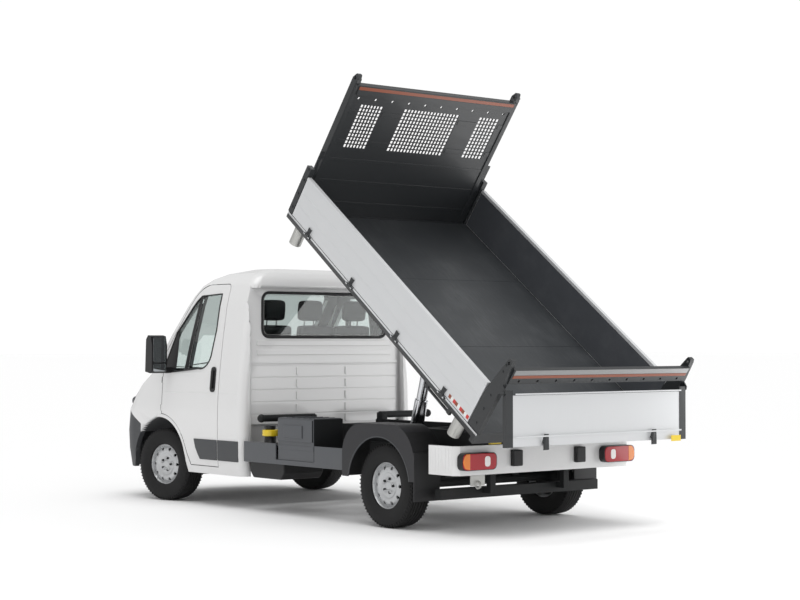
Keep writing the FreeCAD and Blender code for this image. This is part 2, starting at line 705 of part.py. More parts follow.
def cross_members():
    """Members between the rails: five behind the cab, three under the engine, and the ram's cradle."""
    cross = [box(-RAIL_X, RAIL_X, y, y + MEMBER, RAIL_LOW + 20, RAIL_TOP - 20) for y in CROSS_MEMBERS]
    nose = [box(-RAIL_X, RAIL_X, y, y + MEMBER, CAB_RAIL_LOW, ENGINE_LOW - FIT) for y in NOSE_MEMBERS]
    y, z = RAM_BASE
    cradle = box(RAM_R + RAM_STEP + 6, RAIL_X, y - 40, y + 40, z - 50, z + 45)
    cradle = cradle.cut(rod((0, y, z), (RAIL_X, y, z), TRUNNION_R + FIT))
    return Part.makeCompound(cross + nose + [cradle, mirrored(cradle)])


def outriggers():
    """Arms outside the rails that carry boxes, skirts and guards, and the ends of the rear beam."""
    arms = [box(RAIL_X + RAIL_WIDTH, 985, y, y + 40, RAIL_LOW + 30, RAIL_LOW + 70) for y in OUTRIGGERS]
    ends = box(RAIL_X, 940, FRAME_REAR, REAR_FACE - BEAM_WALL - FIT, RAIL_LOW + 10, RAIL_TOP - 10)
    left = arms + [ends]
    return Part.makeCompound(left + [mirrored(s) for s in left])


STEP_FRONT = 1400.0
STEP_REAR = 1520.0
SKIRT_FRONT = 1440.0
SKIRT_REAR = WHEELBASE - 525.0
OUTRIGGERS = [1560, 2060, 2380, SKIRT_REAR - 65]
SKIRT_OUT = 1022.0
BOX_FRONT = 1955.0
BOX_REAR = BOX_FRONT + 530.0


def side_skirts():
    """Sheet panels along both sides; the left one is cut away for the pump box."""
    low, mid, top, wall = 448.0, 490.0, 632.0, 12.0
    lip = side_prism([(SKIRT_FRONT, low), (SKIRT_REAR, low), (SKIRT_REAR, mid), (SKIRT_FRONT, mid)],
                     SKIRT_OUT - wall, SKIRT_OUT)
    foot = box(985 + FIT, SKIRT_OUT, SKIRT_FRONT, SKIRT_REAR, low, low + 10)
    front = box(SKIRT_OUT - wall, SKIRT_OUT, SKIRT_FRONT, BOX_FRONT - 20, mid, top)
    rear = box(SKIRT_OUT - wall, SKIRT_OUT, BOX_REAR + 20, SKIRT_REAR, mid, top)
    whole = box(SKIRT_OUT - wall, SKIRT_OUT, SKIRT_FRONT, SKIRT_REAR, mid, top)
    seats_on = [box(985 + FIT, SKIRT_OUT - wall, y - 10, y + 50, low, RAIL_LOW + 75) for y in OUTRIGGERS]
    left = fuse([lip, foot, front, rear, seats_on[0], seats_on[-1]])
    right = mirrored(fuse([lip, foot, whole] + seats_on))
    return Part.makeCompound([left, right])


def pump_box():
    """Cabinet of the tipper's pump, with its lid's raised middle."""
    low, top, deep, out = 540.0, 862.0, 690.0, SKIRT_OUT - 12 - FIT
    body = box(deep, out, BOX_FRONT, BOX_REAR, RAIL_LOW + 70 + FIT, top)
    skirt = box(985 + FIT, out, BOX_FRONT, BOX_REAR, low - 50, RAIL_LOW + 75)
    lid = box(out - 2, out + 12, BOX_FRONT + 12, BOX_REAR - 12, low + 120, top - 10)
    panel = box(out, out + 20, BOX_FRONT + 110, BOX_REAR - 150, low + 150, top - 60)
    return fuse([body, skirt, lid, panel])


def filler():
    """Oil tank of the tipper's pump on its shelf, with a wide round cap."""
    x, y = 905.0, 1690.0
    shelf = box(720, 985, 1545, 1880, RAIL_LOW + 70 + FIT, RAIL_LOW + 90)
    tank = rod((x, y, RAIL_LOW + 90), (x, y, 700), 52)
    cap = rod((x, y, 700), (x, y, 752), 44)
    return fuse([shelf, tank, cap])


def fuel_tank():
    low, top = 300.0, RAIL_LOW + 30 - FIT
    tank = side_prism([(1420, low + 60), (1470, low), (1900, low), (1950, low + 60), (1950, 440),
                       (1950, top), (1420, top)], 500, 940)
    return tank


def exhaust():
    """Pipe from the engine to a silencer under the right side, and a tail pipe."""
    x, z = -600.0, 420.0
    muffler = rod((x, 1650, z), (x, 2350, z), 92)
    pipe = rod((x, -250 + 800, z), (x, 1660, z), 27)
    tail = rod((x, 2340, z), (x, 2950, z), 27)
    hooks = [box(x - 12, x + 12, y + 8, y + 32, z + 20, RAIL_LOW + 30 - FIT) for y in OUTRIGGERS[1:3]]
    return fuse([muffler, pipe, tail] + hooks)


GUARD_FRONT = WHEELBASE - 515.0
GUARD_REAR = WHEELBASE + 422.0
GUARD_TOP = 858.0
GUARD_IN = 760.0
GUARD_OUT = 1050.0
GUARD_WALL = 10.0
FLAP_LOW = 245.0


def mudguards():
    """Moulded guards over the rear wheels, each with a deep lip and a hanging flap."""
    front, rear, top = GUARD_FRONT, GUARD_REAR, GUARD_TOP
    w = GUARD_WALL

    def form(t, x0, x1):
        return side_prism([(front + t, 405), (front + t, 610), (front + 62 + t * 0.7, 765 - t * 0.7,
                           front + 235, top - t), (rear - 235, top - t),
                           (rear - 58 - t * 0.7, 745 - t * 0.7, rear - t, 610), (rear - t, 405)], x0, x1)
    middle = (GUARD_FRONT + GUARD_REAR) / 2 + 12
    shell = form(0, GUARD_IN, GUARD_OUT).cut(form(w, GUARD_IN - 1, GUARD_OUT - w))
    opening = rod((GUARD_OUT - 20, middle, TYRE_R), (GUARD_OUT + 20, middle, TYRE_R), 402)
    below = box(GUARD_OUT - 20, GUARD_OUT + 20, middle - 398, middle + 398, 100, 420)
    guard = shell.cut(opening).cut(below)
    flap = box(GUARD_IN + 15, GUARD_OUT, rear, rear + 8, FLAP_LOW, 640)
    bracket = box(RAIL_X + RAIL_WIDTH + FIT, GUARD_IN, WHEELBASE - 30, WHEELBASE + 30, 600, 640)
    foot = box(GUARD_IN - 24, GUARD_IN + 12, WHEELBASE - 30, WHEELBASE + 30, 600, top - 4)
    return both_sides(fuse([guard, flap, bracket, foot]))


def tipper_subframe():
    """Auxiliary frame on the ladder frame, with the cross tubes and balls that the bed sits on."""
    rail = box(RAIL_X, RAIL_X + SUB_WIDTH, FRONT_BALL_Y - 60, HINGE_Y + 40, RAIL_TOP, SUB_TOP)
    rail = rail.cut(box(0, BEAM_HALF, REAR_FACE - BEAM_WALL - FIT, REAR_FACE + 100, 0, BEAM_TOP + FIT))
    pieces = [rail, mirrored(rail)]
    for y in (FRONT_BALL_Y + 120, WHEELBASE - 550, HINGE_Y - 120):
        pieces.append(box(-RAIL_X, RAIL_X, y, y + 50, RAIL_TOP + 30, SUB_TOP - 20))
    for y in (FRONT_BALL_Y, HINGE_Y):
        for side in (1, -1):
            pieces.append(rod((side * RAIL_X, y, HINGE_Z), (side * SOCKET_X, y, HINGE_Z), CROSS_TUBE_R))
            pieces.append(Part.makeSphere(BALL_R, Vector(side * SOCKET_X, y, HINGE_Z)))
            x0 = side * RAIL_X + (0 if side > 0 else -SUB_WIDTH)
            pieces.append(box(x0, x0 + SUB_WIDTH, y - 45, y + 40, SUB_TOP - 10, HINGE_Z + 20))
    return fuse(pieces)


TRUNNION_R = 22.0
FRONT_BALL_S = 2770.0
SOCKET_X = 985.0
FRONT_BALL_Y = HINGE_Y + HINGE_S - FRONT_BALL_S


def safety_prop():
    """Red prop that holds the empty bed up for servicing, folded along the right rail."""
    x = -(RAIL_X + SUB_WIDTH + 30)
    start = WHEELBASE - 430
    bar = box(x - 18, x + 18, start, start + 680, SUB_TOP - 55, SUB_TOP - 10)
    foot = box(x - 18, -(RAIL_X + SUB_WIDTH) - FIT, start + 20, start + 80, SUB_TOP - 100, SUB_TOP - 10)
    return fuse([bar, foot])


def rear_beam():
    """White folded rear beam: face, top flange and the returns at its ends."""
    y, wall, chamfer = REAR_FACE, BEAM_WALL, BEAM_CHAMFER
    plan = [(-BEAM_HALF, y - BEAM_RETURN), (-BEAM_HALF, y - chamfer), (-BEAM_HALF + chamfer, y),
            (BEAM_HALF - chamfer, y), (BEAM_HALF, y - chamfer), (BEAM_HALF, y - BEAM_RETURN),
            (BEAM_HALF - wall, y - BEAM_RETURN), (BEAM_HALF - wall, y - chamfer - 12),
            (BEAM_HALF - chamfer - 12, y - wall), (-BEAM_HALF + chamfer + 12, y - wall),
            (-BEAM_HALF + wall, y - chamfer - 12), (-BEAM_HALF + wall, y - BEAM_RETURN)]
    return plan_prism(plan, BEAM_LOW, BEAM_TOP)


LAMP_IN = 615.0
LAMP_OUT = 985.0
LAMP_Z = (518.0, 656.0)


def tail_lamps():
    low, high = LAMP_Z
    half = (LAMP_OUT - LAMP_IN) / 2
    body = front_prism(round_rect(half, low, high, 45), REAR_FACE, REAR_FACE + 62)
    lamp = body.translated(Vector((LAMP_IN + LAMP_OUT) / 2, 0, 0))
    return both_sides(lamp)


def rear_buffers():
    pad = box(310, 412, REAR_FACE, REAR_FACE + 46, 532, 662)
    return both_sides(pad)


GUARD_BAR_Y = REAR_FACE - 370
GUARD_BAR_TOP = 348.0


def underrun_bar():
    """Low guard across the back on two drop legs."""
    y, top = GUARD_BAR_Y, GUARD_BAR_TOP
    bar = box(-900, 900, y, y + 80, top - 86, top)
    leg = box(RAIL_X, RAIL_X + RAIL_WIDTH - 20, y + 125, y + 175, top, RAIL_LOW - FIT)
    foot = box(RAIL_X, RAIL_X + RAIL_WIDTH - 20, y + 15, y + 175, top - 48, top)
    return fuse([bar, leg, foot, mirrored(leg), mirrored(foot)])


# ---------------------------------------------------------------- tipping bed, drawn lowered
BED_REAR = HINGE_Y + HINGE_S          # y of the boards' rear end with the bed down
BED_Z = HINGE_Z + HINGE_DROP          # height of the boards' lower edge with the bed down
FLOOR_THICK = 24.0
EDGE_RAIL = 56.0
BEARER = 100.0
LONG_MEMBER_X = 310.0


def bed_box(x0, x1, s0, s1, h0, h1):
    """A box in the bed's own measures: s ahead of the boards' rear end, h above their lower edge."""
    return box(x0, x1, BED_REAR - s1, BED_REAR - s0, BED_Z + h0, BED_Z + h1)


def bed_point(x, s, h):
    return (x, BED_REAR - s, BED_Z + h)


def bed_side(points, x0, x1):
    return side_prism([tuple(v for n in range(0, len(p), 2)
                             for v in (BED_REAR - p[n], BED_Z + p[n + 1])) for p in points], x0, x1)


TAB_PLACES = [365, 1100, 1845, 2590]
TAB_LENGTH = 46.0
PIN_X = BED_HALF + SIDE_PIN_OUT
PIN_DROP = -14.0
BEARER_WIDTH = 50.0
BEARER_PLACES = [HINGE_S - SOCKET_R - BEARER_WIDTH - 10] + [
    BED_LENGTH * share for share in (0.193, 0.359, 0.524, 0.69, 0.848)] + [BED_LENGTH - 40]


def bed_floor():
    """Floor plate on cross bearers, two long members and the edge rails with their pin lugs."""
    plate = bed_box(-BED_HALF + BOARD + 4, BED_HALF - BOARD - 4, -REAR_FRAME, BED_LENGTH + 20,
                    -FLOOR_THICK, 0)
    pieces = [plate]
    for s in BEARER_PLACES:
        pieces.append(bed_box(-BED_HALF + EDGE_RAIL, BED_HALF - EDGE_RAIL, s, s + BEARER_WIDTH,
                              -BEARER, -FLOOR_THICK))
    pieces.append(bed_box(-BED_HALF, BED_HALF, -REAR_FRAME, -REAR_FRAME + 50, -BEARER, -FLOOR_THICK))
    lugs = []
    for s in TAB_PLACES:
        for s0, s1 in ((s - TAB_LENGTH / 2 - 24, s - TAB_LENGTH / 2 - 3),
                       (s + TAB_LENGTH / 2 + 3, s + TAB_LENGTH / 2 + 24)):
            lugs.append(rod(bed_point(PIN_X, s0, PIN_DROP), bed_point(PIN_X, s1, PIN_DROP), PIN_R))
            lugs.append(bed_box(BED_HALF - 6, PIN_X, s0, s1, PIN_DROP - PIN_R, PIN_DROP + PIN_R * 0.5))
        lugs.append(rod(bed_point(PIN_X, s - TAB_LENGTH / 2 - 10, PIN_DROP),
                        bed_point(PIN_X, s + TAB_LENGTH / 2 + 10, PIN_DROP), PIN_R / 2))
    rail = bed_box(BED_HALF - EDGE_RAIL, BED_HALF, -REAR_FRAME, BED_LENGTH + 60, -EDGE_RAIL - 4, -5)
    for side in (1, -1):
        x0 = min(side * LONG_MEMBER_X, side * (LONG_MEMBER_X + 60))
        pieces.append(bed_box(x0, x0 + 60, 300, BED_LENGTH - 40, -BEARER - 70, -FLOOR_THICK))
        edge = [rail] + lugs
        pieces += edge if side > 0 else [mirrored(p) for p in edge]
    cheeks = [bed_box(x0, x0 + 20, RAM_TOP_S - 40, RAM_TOP_S + 40, -RAM_TOP_DROP - 32, -FLOOR_THICK)
              for x0 in (-56, 36)]
    stay = bed_box(-LONG_MEMBER_X, LONG_MEMBER_X, RAM_TOP_S + 45, RAM_TOP_S + 90, -BEARER, -FLOOR_THICK)
    whole = fuse(pieces + [stay] + cheeks)
    eye = rod(bed_point(-200, RAM_TOP_S, -RAM_TOP_DROP), bed_point(200, RAM_TOP_S, -RAM_TOP_DROP), 14)
    return whole.cut(eye)


def bed_sockets():
    """Ball sockets under the bed's four corners; the rear pair is the tipping hinge."""
    made = []
    drop = HINGE_DROP
    for s, gap, open_below in ((HINGE_S, FIT, False), (FRONT_BALL_S, 3.0, True)):
        x, y, z = bed_point(SOCKET_X, s, -drop)
        body = rod((x, y, z - SOCKET_R + 6), bed_point(SOCKET_X, s, -EDGE_RAIL - 4), SOCKET_R)
        room = [Part.makeSphere(BALL_R + gap, Vector(x, y, z)),
                rod((x - 200, y, z), (x, y, z), CROSS_TUBE_R + gap)]
        if open_below:
            room.append(rod((x, y, z - 200), (x, y, z), BALL_R + gap + 2))
            room.append(box(x - 200, x, y - CROSS_TUBE_R - gap - 2, y + CROSS_TUBE_R + gap + 2, z - 200, z))
        for shape in room:
            body = body.cut(shape)
        made += [body, mirrored(body)]
    return Part.makeCompound(made)


MESH_TOP = 1140.0
MESH_LOW = 706.0
TIE_HOLES = 10
HEAD_S = (BED_LENGTH + 22, BED_LENGTH + 34)
POST_X = (905.0, 950.0)


def headboard():
    """Tall front board between two posts with horns, three grids and a row of tie holes."""
    s0, s1 = HEAD_S
    lower = bed_box(-BED_HALF + 45, BED_HALF - 45, s0, s1, 0.0, 640)
    upper = bed_box(-POST_X[0], POST_X[0], s0, s1, 640, HEADBOARD_TOP)
    rail = bed_box(-POST_X[0], POST_X[0], s0 - 20, s1 + 30, HEADBOARD_TOP, HEADBOARD_TOP + 92)
    pieces = [lower, upper, rail]
    for side in (1, -1):
        post = bed_side([(s0 - 10, 0), (s0 - 10, HORN_TOP - 60), (s1, HORN_TOP), (s1 + 22, HORN_TOP),
                         (s1 + 52, HORN_TOP - 50), (s1 + 52, 0)], *POST_X)
        horn_hole = rod(bed_point(POST_X[0] - 10, s1 + 18, HORN_TOP - 42),
                        bed_point(POST_X[1] + 10, s1 + 18, HORN_TOP - 42), 15)
        corner = bed_box(BED_HALF - 50, BED_HALF, BED_LENGTH + 5, BED_LENGTH + 70, 0, 470)
        piece = [post.cut(horn_hole), corner]
        pieces += piece if side > 0 else [mirrored(p) for p in piece]
    board = fuse(pieces)
    bar, pitch = 9.0, 37.0
    for x0, x1 in MESH_SPANS:
        window = bed_box(x0, x1, s0 - 5, s1 + 5, MESH_LOW, MESH_TOP)
        columns = max(int(round((x1 - x0) / pitch)), 1)
        bars = []
        for n in range(1, columns):
            x = x0 + (x1 - x0) * n / columns
            bars.append(bed_box(x - bar / 2, x + bar / 2, s0, s1, MESH_LOW, MESH_TOP))
        board = board.cut(window.cut(Part.makeCompound(bars)) if bars else window)
    step = 2 * (POST_X[0] - 60) / (TIE_HOLES - 1)
    for n in range(TIE_HOLES):
        x = -POST_X[0] + 60 + n * step
        board = board.cut(rod(bed_point(x, s0 - 10, HEADBOARD_TOP - 38),
                              bed_point(x, s1 + 10, HEADBOARD_TOP - 38), 13))
    return board


MESH_SPANS = [(-830, -590), (-340, 300), (545, 790)]


def rear_rack():
    """Rear corner posts with horns, the ladder rail between them and the tailgate's pins."""
    pieces = []
    for side in (1, -1):
        post = bed_side([(-2, 0), (-2, 330), (-30, 470), (-72, REAR_HORN_TOP - 20), (-80, REAR_HORN_TOP),
                         (REAR_HORN_S, REAR_HORN_TOP), (-122, REAR_HORN_TOP - 25), (-REAR_FRAME, 500),
                         (-REAR_FRAME, 0)], BED_HALF - 48, BED_HALF - 3)
        hole = rod(bed_point(BED_HALF - 60, -94, REAR_HORN_TOP - 38),
                   bed_point(BED_HALF + 10, -94, REAR_HORN_TOP - 38), 14)
        ear = bed_side([(-REAR_FRAME + 5, 395), (-REAR_FRAME + 5, 478), (TAILGATE_PIN_S - 10, 462),
                        (TAILGATE_PIN_S - 22, 440), (TAILGATE_PIN_S - 12, 415)],
                       GATE_HALF + 4, GATE_HALF + 12)
        pin = rod(bed_point(GATE_HALF - 40, TAILGATE_PIN_S, TAILGATE_PIN_H),
                  bed_point(GATE_HALF + 14, TAILGATE_PIN_S, TAILGATE_PIN_H), PIN_R)
        piece = [post.cut(hole), ear, pin]
        pieces += piece if side > 0 else [mirrored(p) for p in piece]
    rail = bed_box(-BED_HALF + 40, BED_HALF - 40, -REAR_FRAME - 8, -REAR_FRAME + 22, 492, 628)
    board = fuse(pieces + [rail])
    step = 2 * 900.0 / (TIE_HOLES - 1)
    for n in range(TIE_HOLES):
        x = -900 + n * step
        board = board.cut(rod(bed_point(x, -REAR_FRAME - 20, 520), bed_point(x, -REAR_FRAME + 40, 520), 11))
    return board


def drop_side():
    """Left drop side: a hollow-section board with its four hinge straps."""
    board = bed_box(BED_HALF - BOARD, BED_HALF, GAP, BED_LENGTH - GAP, 1, BOARD_HEIGHT)
    cap = bed_box(BED_HALF - BOARD - 6, BED_HALF + 3, GAP, BED_LENGTH - GAP, BOARD_HEIGHT - 26, BOARD_HEIGHT)
    pieces = [board, cap]
    for s in TAB_PLACES:
        s0, s1 = s - TAB_LENGTH / 2, s + TAB_LENGTH / 2
        barrel = ring(bed_point(PIN_X, s0, PIN_DROP), bed_point(PIN_X, s1, PIN_DROP), PIN_R,
                      PIN_R / 2 + FIT)
        strap = bed_box(BED_HALF - 1, BED_HALF + 8, s0, s1, 2, 56)
        web = bed_box(BED_HALF + 2, PIN_X, s0, s1, PIN_DROP + PIN_R * 0.5, 14)
        core = rod(bed_point(PIN_X, s0, PIN_DROP), bed_point(PIN_X, s1, PIN_DROP), PIN_R / 2 + FIT)
        pieces += [barrel, strap, web.cut(core)]
    return fuse(pieces)


def tailgate():
    """Top-hung gate, drawn closed: a panel between two dark end frames that swing on pins."""
    s0, s1 = TAILGATE_PIN_S - GATE_THICK / 2, TAILGATE_PIN_S + GATE_THICK / 2
    low, top = TAILGATE_PIN_H - TAILGATE_DROP, TAILGATE_PIN_H + 16
    inner = GATE_HALF - GATE_END
    panel = bed_box(-inner, inner, s0 + 4, s1, low, TAILGATE_PIN_H - 25)
    pieces = [panel]
    for side in (1, -1):
        frame = bed_box(inner, GATE_HALF, s0, s1, low - 4, top)
        hole = rod(bed_point(GATE_HALF - 41, TAILGATE_PIN_S, TAILGATE_PIN_H),
                   bed_point(GATE_HALF + 20, TAILGATE_PIN_S, TAILGATE_PIN_H), PIN_R + FIT)
        hook = bed_side([(s0 + 8, low + 28), (s0 + 8, low + 92), (s0 - 22, low + 92), (s0 - 26, low - 30),
                         (s0 - 12, low - 34), (s0 - 10, low + 20)], 590, 640)
        piece = [frame.cut(hole), hook]
        pieces += piece if side > 0 else [mirrored(p) for p in piece]
    return fuse(pieces)


# ---------------------------------------------------------------- tipping ram
def bed_at(shape, tilt):
    """A piece of the lowered bed, tilted up by this many degrees about the hinge."""
    moved = shape.copy()
    moved.rotate(Vector(0, HINGE_Y, HINGE_Z), Vector(1, 0, 0), -tilt)
    return moved


def bed_tilted(s, h, tilt):
    """Where (y, z) a point of the bed's own measures lies with the bed at this tilt."""
    dy = BED_REAR - s - HINGE_Y
    dz = BED_Z + h - HINGE_Z
    a = math.radians(tilt)
    return (HINGE_Y + dy * math.cos(a) + dz * math.sin(a),
            HINGE_Z - dy * math.sin(a) + dz * math.cos(a))


def ram_reach(tilt):
    """Length from trunnion to rod eye, and lean from the vertical, rearwards, in degrees."""
    y, z = bed_tilted(RAM_TOP_S, -RAM_TOP_DROP, tilt)
    dy, dz = y - RAM_BASE[0], z - RAM_BASE[1]
    return math.hypot(dy, dz), math.degrees(math.atan2(dy, dz))


STAGE_LENGTH = RAM_BARREL_DOWN + RAM_BARREL_UP - 12


def ram_piece(stage, reach):
    """Upright ram piece about its trunnion at z = 0; stage 0 is the barrel."""
    shut = ram_reach(0)[0]
    out = (reach - shut) * stage / RAM_STAGES
    outer = RAM_R - stage * RAM_STEP
    inner = outer - RAM_STEP + FIT
    low = -RAM_BARREL_DOWN + 12 + out + stage * 1.0
    if stage == 0:
        low = -RAM_BARREL_DOWN
        tube = ring((0, 0, low), (0, 0, RAM_BARREL_UP), outer, inner)
        base = rod((0, 0, low), (0, 0, low + 10), outer)
        pins = ring((0, 0, -26), (0, 0, 26), outer + 8, outer - 1)
        trunnion = rod((-outer - 60, 0, 0), (outer + 60, 0, 0), TRUNNION_R)
        core = rod((0, 0, low + 10), (0, 0, RAM_BARREL_UP), inner)
        return fuse([tube, base, pins, trunnion.cut(core)])
    if stage < RAM_STAGES:
        return ring((0, 0, low), (0, 0, low + STAGE_LENGTH), outer, inner)
    stem = rod((0, 0, low), (0, 0, reach - 20), outer)
    eye = rod((-34, 0, reach), (34, 0, reach), 26)
    return fuse([stem, eye]).cut(rod((-60, 0, reach), (60, 0, reach), 14 + FIT))


def ram(stage):
    reach, lean = ram_reach(BED_TILT)
    piece = ram_piece(stage, reach)
    piece.rotate(Vector(0, 0, 0), Vector(1, 0, 0), -lean)
    return piece.translated(Vector(0, *RAM_BASE))


# ---------------------------------------------------------------- write the pieces
def engine():
    return box(-330, 330, -640, -150, ENGINE_LOW, 1010)


def raised(shape):
    return bed_at(shape, BED_TILT)


def hanging(shape):
    """The closed tailgate of the raised bed, let swing back until it hangs plumb."""
    gate = raised(shape)
    y, z = pin_place()
    gate.rotate(Vector(0, y, z), Vector(1, 0, 0), BED_TILT)
    return gate


def pin_place():
    """Tailgate's pin (y, z) with the bed raised."""
    return bed_tilted(TAILGATE_PIN_S, TAILGATE_PIN_H, BED_TILT)


def pieces():
    front, rear = FRONT_TRACK / 2, REAR_TRACK / 2
    left_door, left_glass, left_mirror = door(), door_glass(), mirror()
    side = drop_side()
    made = {
        "chassis_frame": chassis_frame(), "cross_members": cross_members(), "outriggers": outriggers(),
        "cab_shell": cab_shell(), "front_bumper": front_bumper(),
        "grille": grille(), "headlamps": headlamps(), "windscreen": windscreen(),
        "rear_window": rear_window(), "dashboard": dashboard(), "steering_wheel": steering_wheel(),
        "seats": seats(), "engine": engine(), "front_axle": front_axle(), "rear_axle": rear_axle(),
        "leaf_springs": leaf_springs(), "fuel_tank": fuel_tank(), "exhaust": exhaust(),
        "mudguards": mudguards(), "side_skirts": side_skirts(), "pump_box": pump_box(),
        "oil_filler": filler(), "tipper_subframe": tipper_subframe(), "safety_prop": safety_prop(),
        "rear_beam": rear_beam(), "tail_lamps": tail_lamps(), "rear_buffers": rear_buffers(),
        "underrun_bar": underrun_bar(), "bonnet": bonnet(),
        "door_left": left_door, "door_right": mirrored(left_door),
        "door_glass_left": left_glass, "door_glass_right": mirrored(left_glass),
        "mirror_left": left_mirror, "mirror_right": mirrored(left_mirror),
        "bed_floor": raised(bed_floor()), "bed_sockets": raised(bed_sockets()),
        "headboard": raised(headboard()), "rear_rack": raised(rear_rack()),
        "side_left": raised(side), "side_right": raised(mirrored(side)),
        "tailgate": hanging(tailgate()),
    }
    for name, s in (("left", 1), ("right", -1)):
        turn = knuckle() if s > 0 else mirrored(knuckle())
        made["knuckle_" + name] = steered(turn, s)
        made["tyre_front_" + name] = steered(tyre((s * front, 0, TYRE_R)), s)
        made["rim_front_" + name] = steered(rim((s * front, 0, TYRE_R), s), s)
        made["tyre_rear_" + name] = tyre((s * rear, WHEELBASE, TYRE_R))
        made["rim_rear_" + name] = rim((s * rear, WHEELBASE, TYRE_R), s)
    for stage in range(RAM_STAGES + 1):
        made["ram_barrel" if stage == 0 else "ram_stage_%d" % stage] = ram(stage)
    return made


def middle_y():
    """Half way between the nose and the tips of the rear horns."""
    nose = min(level[2] for level in CAB_LEVELS)
    return (nose + bed_tilted(REAR_HORN_S, REAR_HORN_TOP, BED_TILT)[0]) / 2


def main():
    os.makedirs("parts", exist_ok=True)
    shift = Vector(0, -middle_y(), 0)
    for name, shape in pieces().items():
        shape.translated(shift).exportStep(os.path.join("parts", name + ".step"))


if __name__ == "__main__":
    main()
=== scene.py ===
"""Dresses the tipper truck: paint, glass, seals, tread, grids and the small fittings of cab and bed."""

import json
import math

import bpy
from mathutils import Matrix, Vector
from mathutils.bvhtree import BVHTree

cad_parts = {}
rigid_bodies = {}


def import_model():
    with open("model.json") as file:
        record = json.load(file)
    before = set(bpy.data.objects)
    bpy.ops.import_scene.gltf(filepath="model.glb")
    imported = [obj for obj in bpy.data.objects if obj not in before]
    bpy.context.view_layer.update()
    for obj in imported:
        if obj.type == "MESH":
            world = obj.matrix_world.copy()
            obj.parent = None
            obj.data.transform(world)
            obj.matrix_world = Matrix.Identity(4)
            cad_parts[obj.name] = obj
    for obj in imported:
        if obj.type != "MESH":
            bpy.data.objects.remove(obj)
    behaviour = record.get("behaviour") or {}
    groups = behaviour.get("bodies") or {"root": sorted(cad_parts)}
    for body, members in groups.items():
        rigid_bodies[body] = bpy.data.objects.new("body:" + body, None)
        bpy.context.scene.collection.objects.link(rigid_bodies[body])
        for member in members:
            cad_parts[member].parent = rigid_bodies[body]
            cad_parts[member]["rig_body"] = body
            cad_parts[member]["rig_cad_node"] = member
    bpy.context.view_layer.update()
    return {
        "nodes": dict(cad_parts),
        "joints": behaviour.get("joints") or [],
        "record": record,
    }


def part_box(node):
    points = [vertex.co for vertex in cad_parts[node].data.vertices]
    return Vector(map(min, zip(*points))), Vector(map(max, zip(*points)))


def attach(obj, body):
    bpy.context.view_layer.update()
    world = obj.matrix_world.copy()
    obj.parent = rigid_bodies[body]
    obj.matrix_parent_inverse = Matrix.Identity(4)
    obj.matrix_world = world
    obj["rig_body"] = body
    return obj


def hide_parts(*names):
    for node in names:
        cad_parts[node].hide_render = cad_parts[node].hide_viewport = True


bl_info = {
    "name": "Tipper truck dressing",
    "version": (1, 0, 0),
    "blender": (4, 5, 0),
    "location": "View3D > Sidebar > Tipper",
    "description": "Finishes and fittings of a single cab tipper truck",
    "category": "Object",
}

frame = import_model()

# ------------------------------------------------------------------ places taken from the frame
JOINTS = {joint["name"]: joint for joint in frame["joints"]}
AXLE_Y = JOINTS["steer_left"]["pos_m"][1]        # the front axle; lengths below run back from it
TIP = Vector(JOINTS["tip"]["pos_m"])             # hinge line of the bed
BED_RAISED = math.radians(37.1)
BOARDS_BACK = 0.120                              # the boards' rear end lies this far behind the hinge
BOARDS_UP = 0.170                                # and their lower edge this far above it
BED = (Matrix.Translation(TIP) @ Matrix.Rotation(-BED_RAISED, 4, "X")
       @ Matrix.Translation((0, BOARDS_BACK, BOARDS_UP)))
SIDES = {"left": 1, "right": -1}
CORNERS = [end + "_" + side for end in ("front", "rear") for side in SIDES]
BODY_OF = {node: body for body, nodes in frame["record"]["behaviour"]["bodies"].items() for node in nodes}

OUTSIDE = 1.5                                    # well off the truck's side, where rays at it start
AHEAD = -2.0                                     # and ahead of its nose
BEHIND = 2.0                                     # and behind the cab
WELD = 1e-5                                      # points closer than this are one
FLAT = math.radians(0.4)                         # faces that meet at less than this are one
ROUND = math.radians(42)                         # and at less than this shade as one
LUGS = 66                                        # on each shoulder of a tyre
UP = (0, 0, 1)


def at(x, y, z):
    """A point of the truck: x to its left, y back from the front axle, z above the road."""
    return Vector((x, y + AXLE_Y, z))


def pair(name):
    """A name's left and right."""
    return [name + "_" + side for side in SIDES]


# ------------------------------------------------------------------ sizes and colours a user may change
def colour_property(name, description, default):
    return bpy.props.FloatVectorProperty(name=name, description=description, default=default,
                                         subtype="COLOR", size=3, min=0, max=1)


class TipperColours(bpy.types.PropertyGroup):
    """Colours of the paint, plastic and stripes"""
    paint: colour_property("Cab paint", "Gloss paint of cab and rear beam", (0.76, 0.76, 0.76))
    frame_paint: colour_property("Frame paint", "Satin paint of the bed's posts and frame",
                                 (0.018, 0.020, 0.022))
    floor_steel: colour_property("Bed steel", "Painted steel inside the bed", (0.040, 0.044, 0.048))
    boards: colour_property("Boards", "Anodised drop sides and tailgate", (0.66, 0.67, 0.68))
    stripe: colour_property("Stripe", "Reflective stripe along the racks", (0.260, 0.065, 0.028))
    moulding: colour_property("Moulding", "Grained plastic of mouldings and bumper", (0.052, 0.055, 0.060))


class TipperSizes(bpy.types.PropertyGroup):
    """Sizes of the tyres"""
    tread_depth: bpy.props.FloatProperty(name="Tread depth", description="Depth of the tyres' grooves",
                                         default=0.007, unit="LENGTH", min=0.002, max=0.012)


# ------------------------------------------------------------------ shaping by hand
def deselect():
    if bpy.context.object and bpy.context.object.mode != "OBJECT":
        bpy.ops.object.mode_set(mode="OBJECT")
    bpy.ops.object.select_all(action="DESELECT")


def take(*pieces):
    """Selects these pieces alone, the first of them active."""
    deselect()
    for piece in pieces:
        piece.select_set(True)
    bpy.context.view_layer.objects.active = pieces[0]


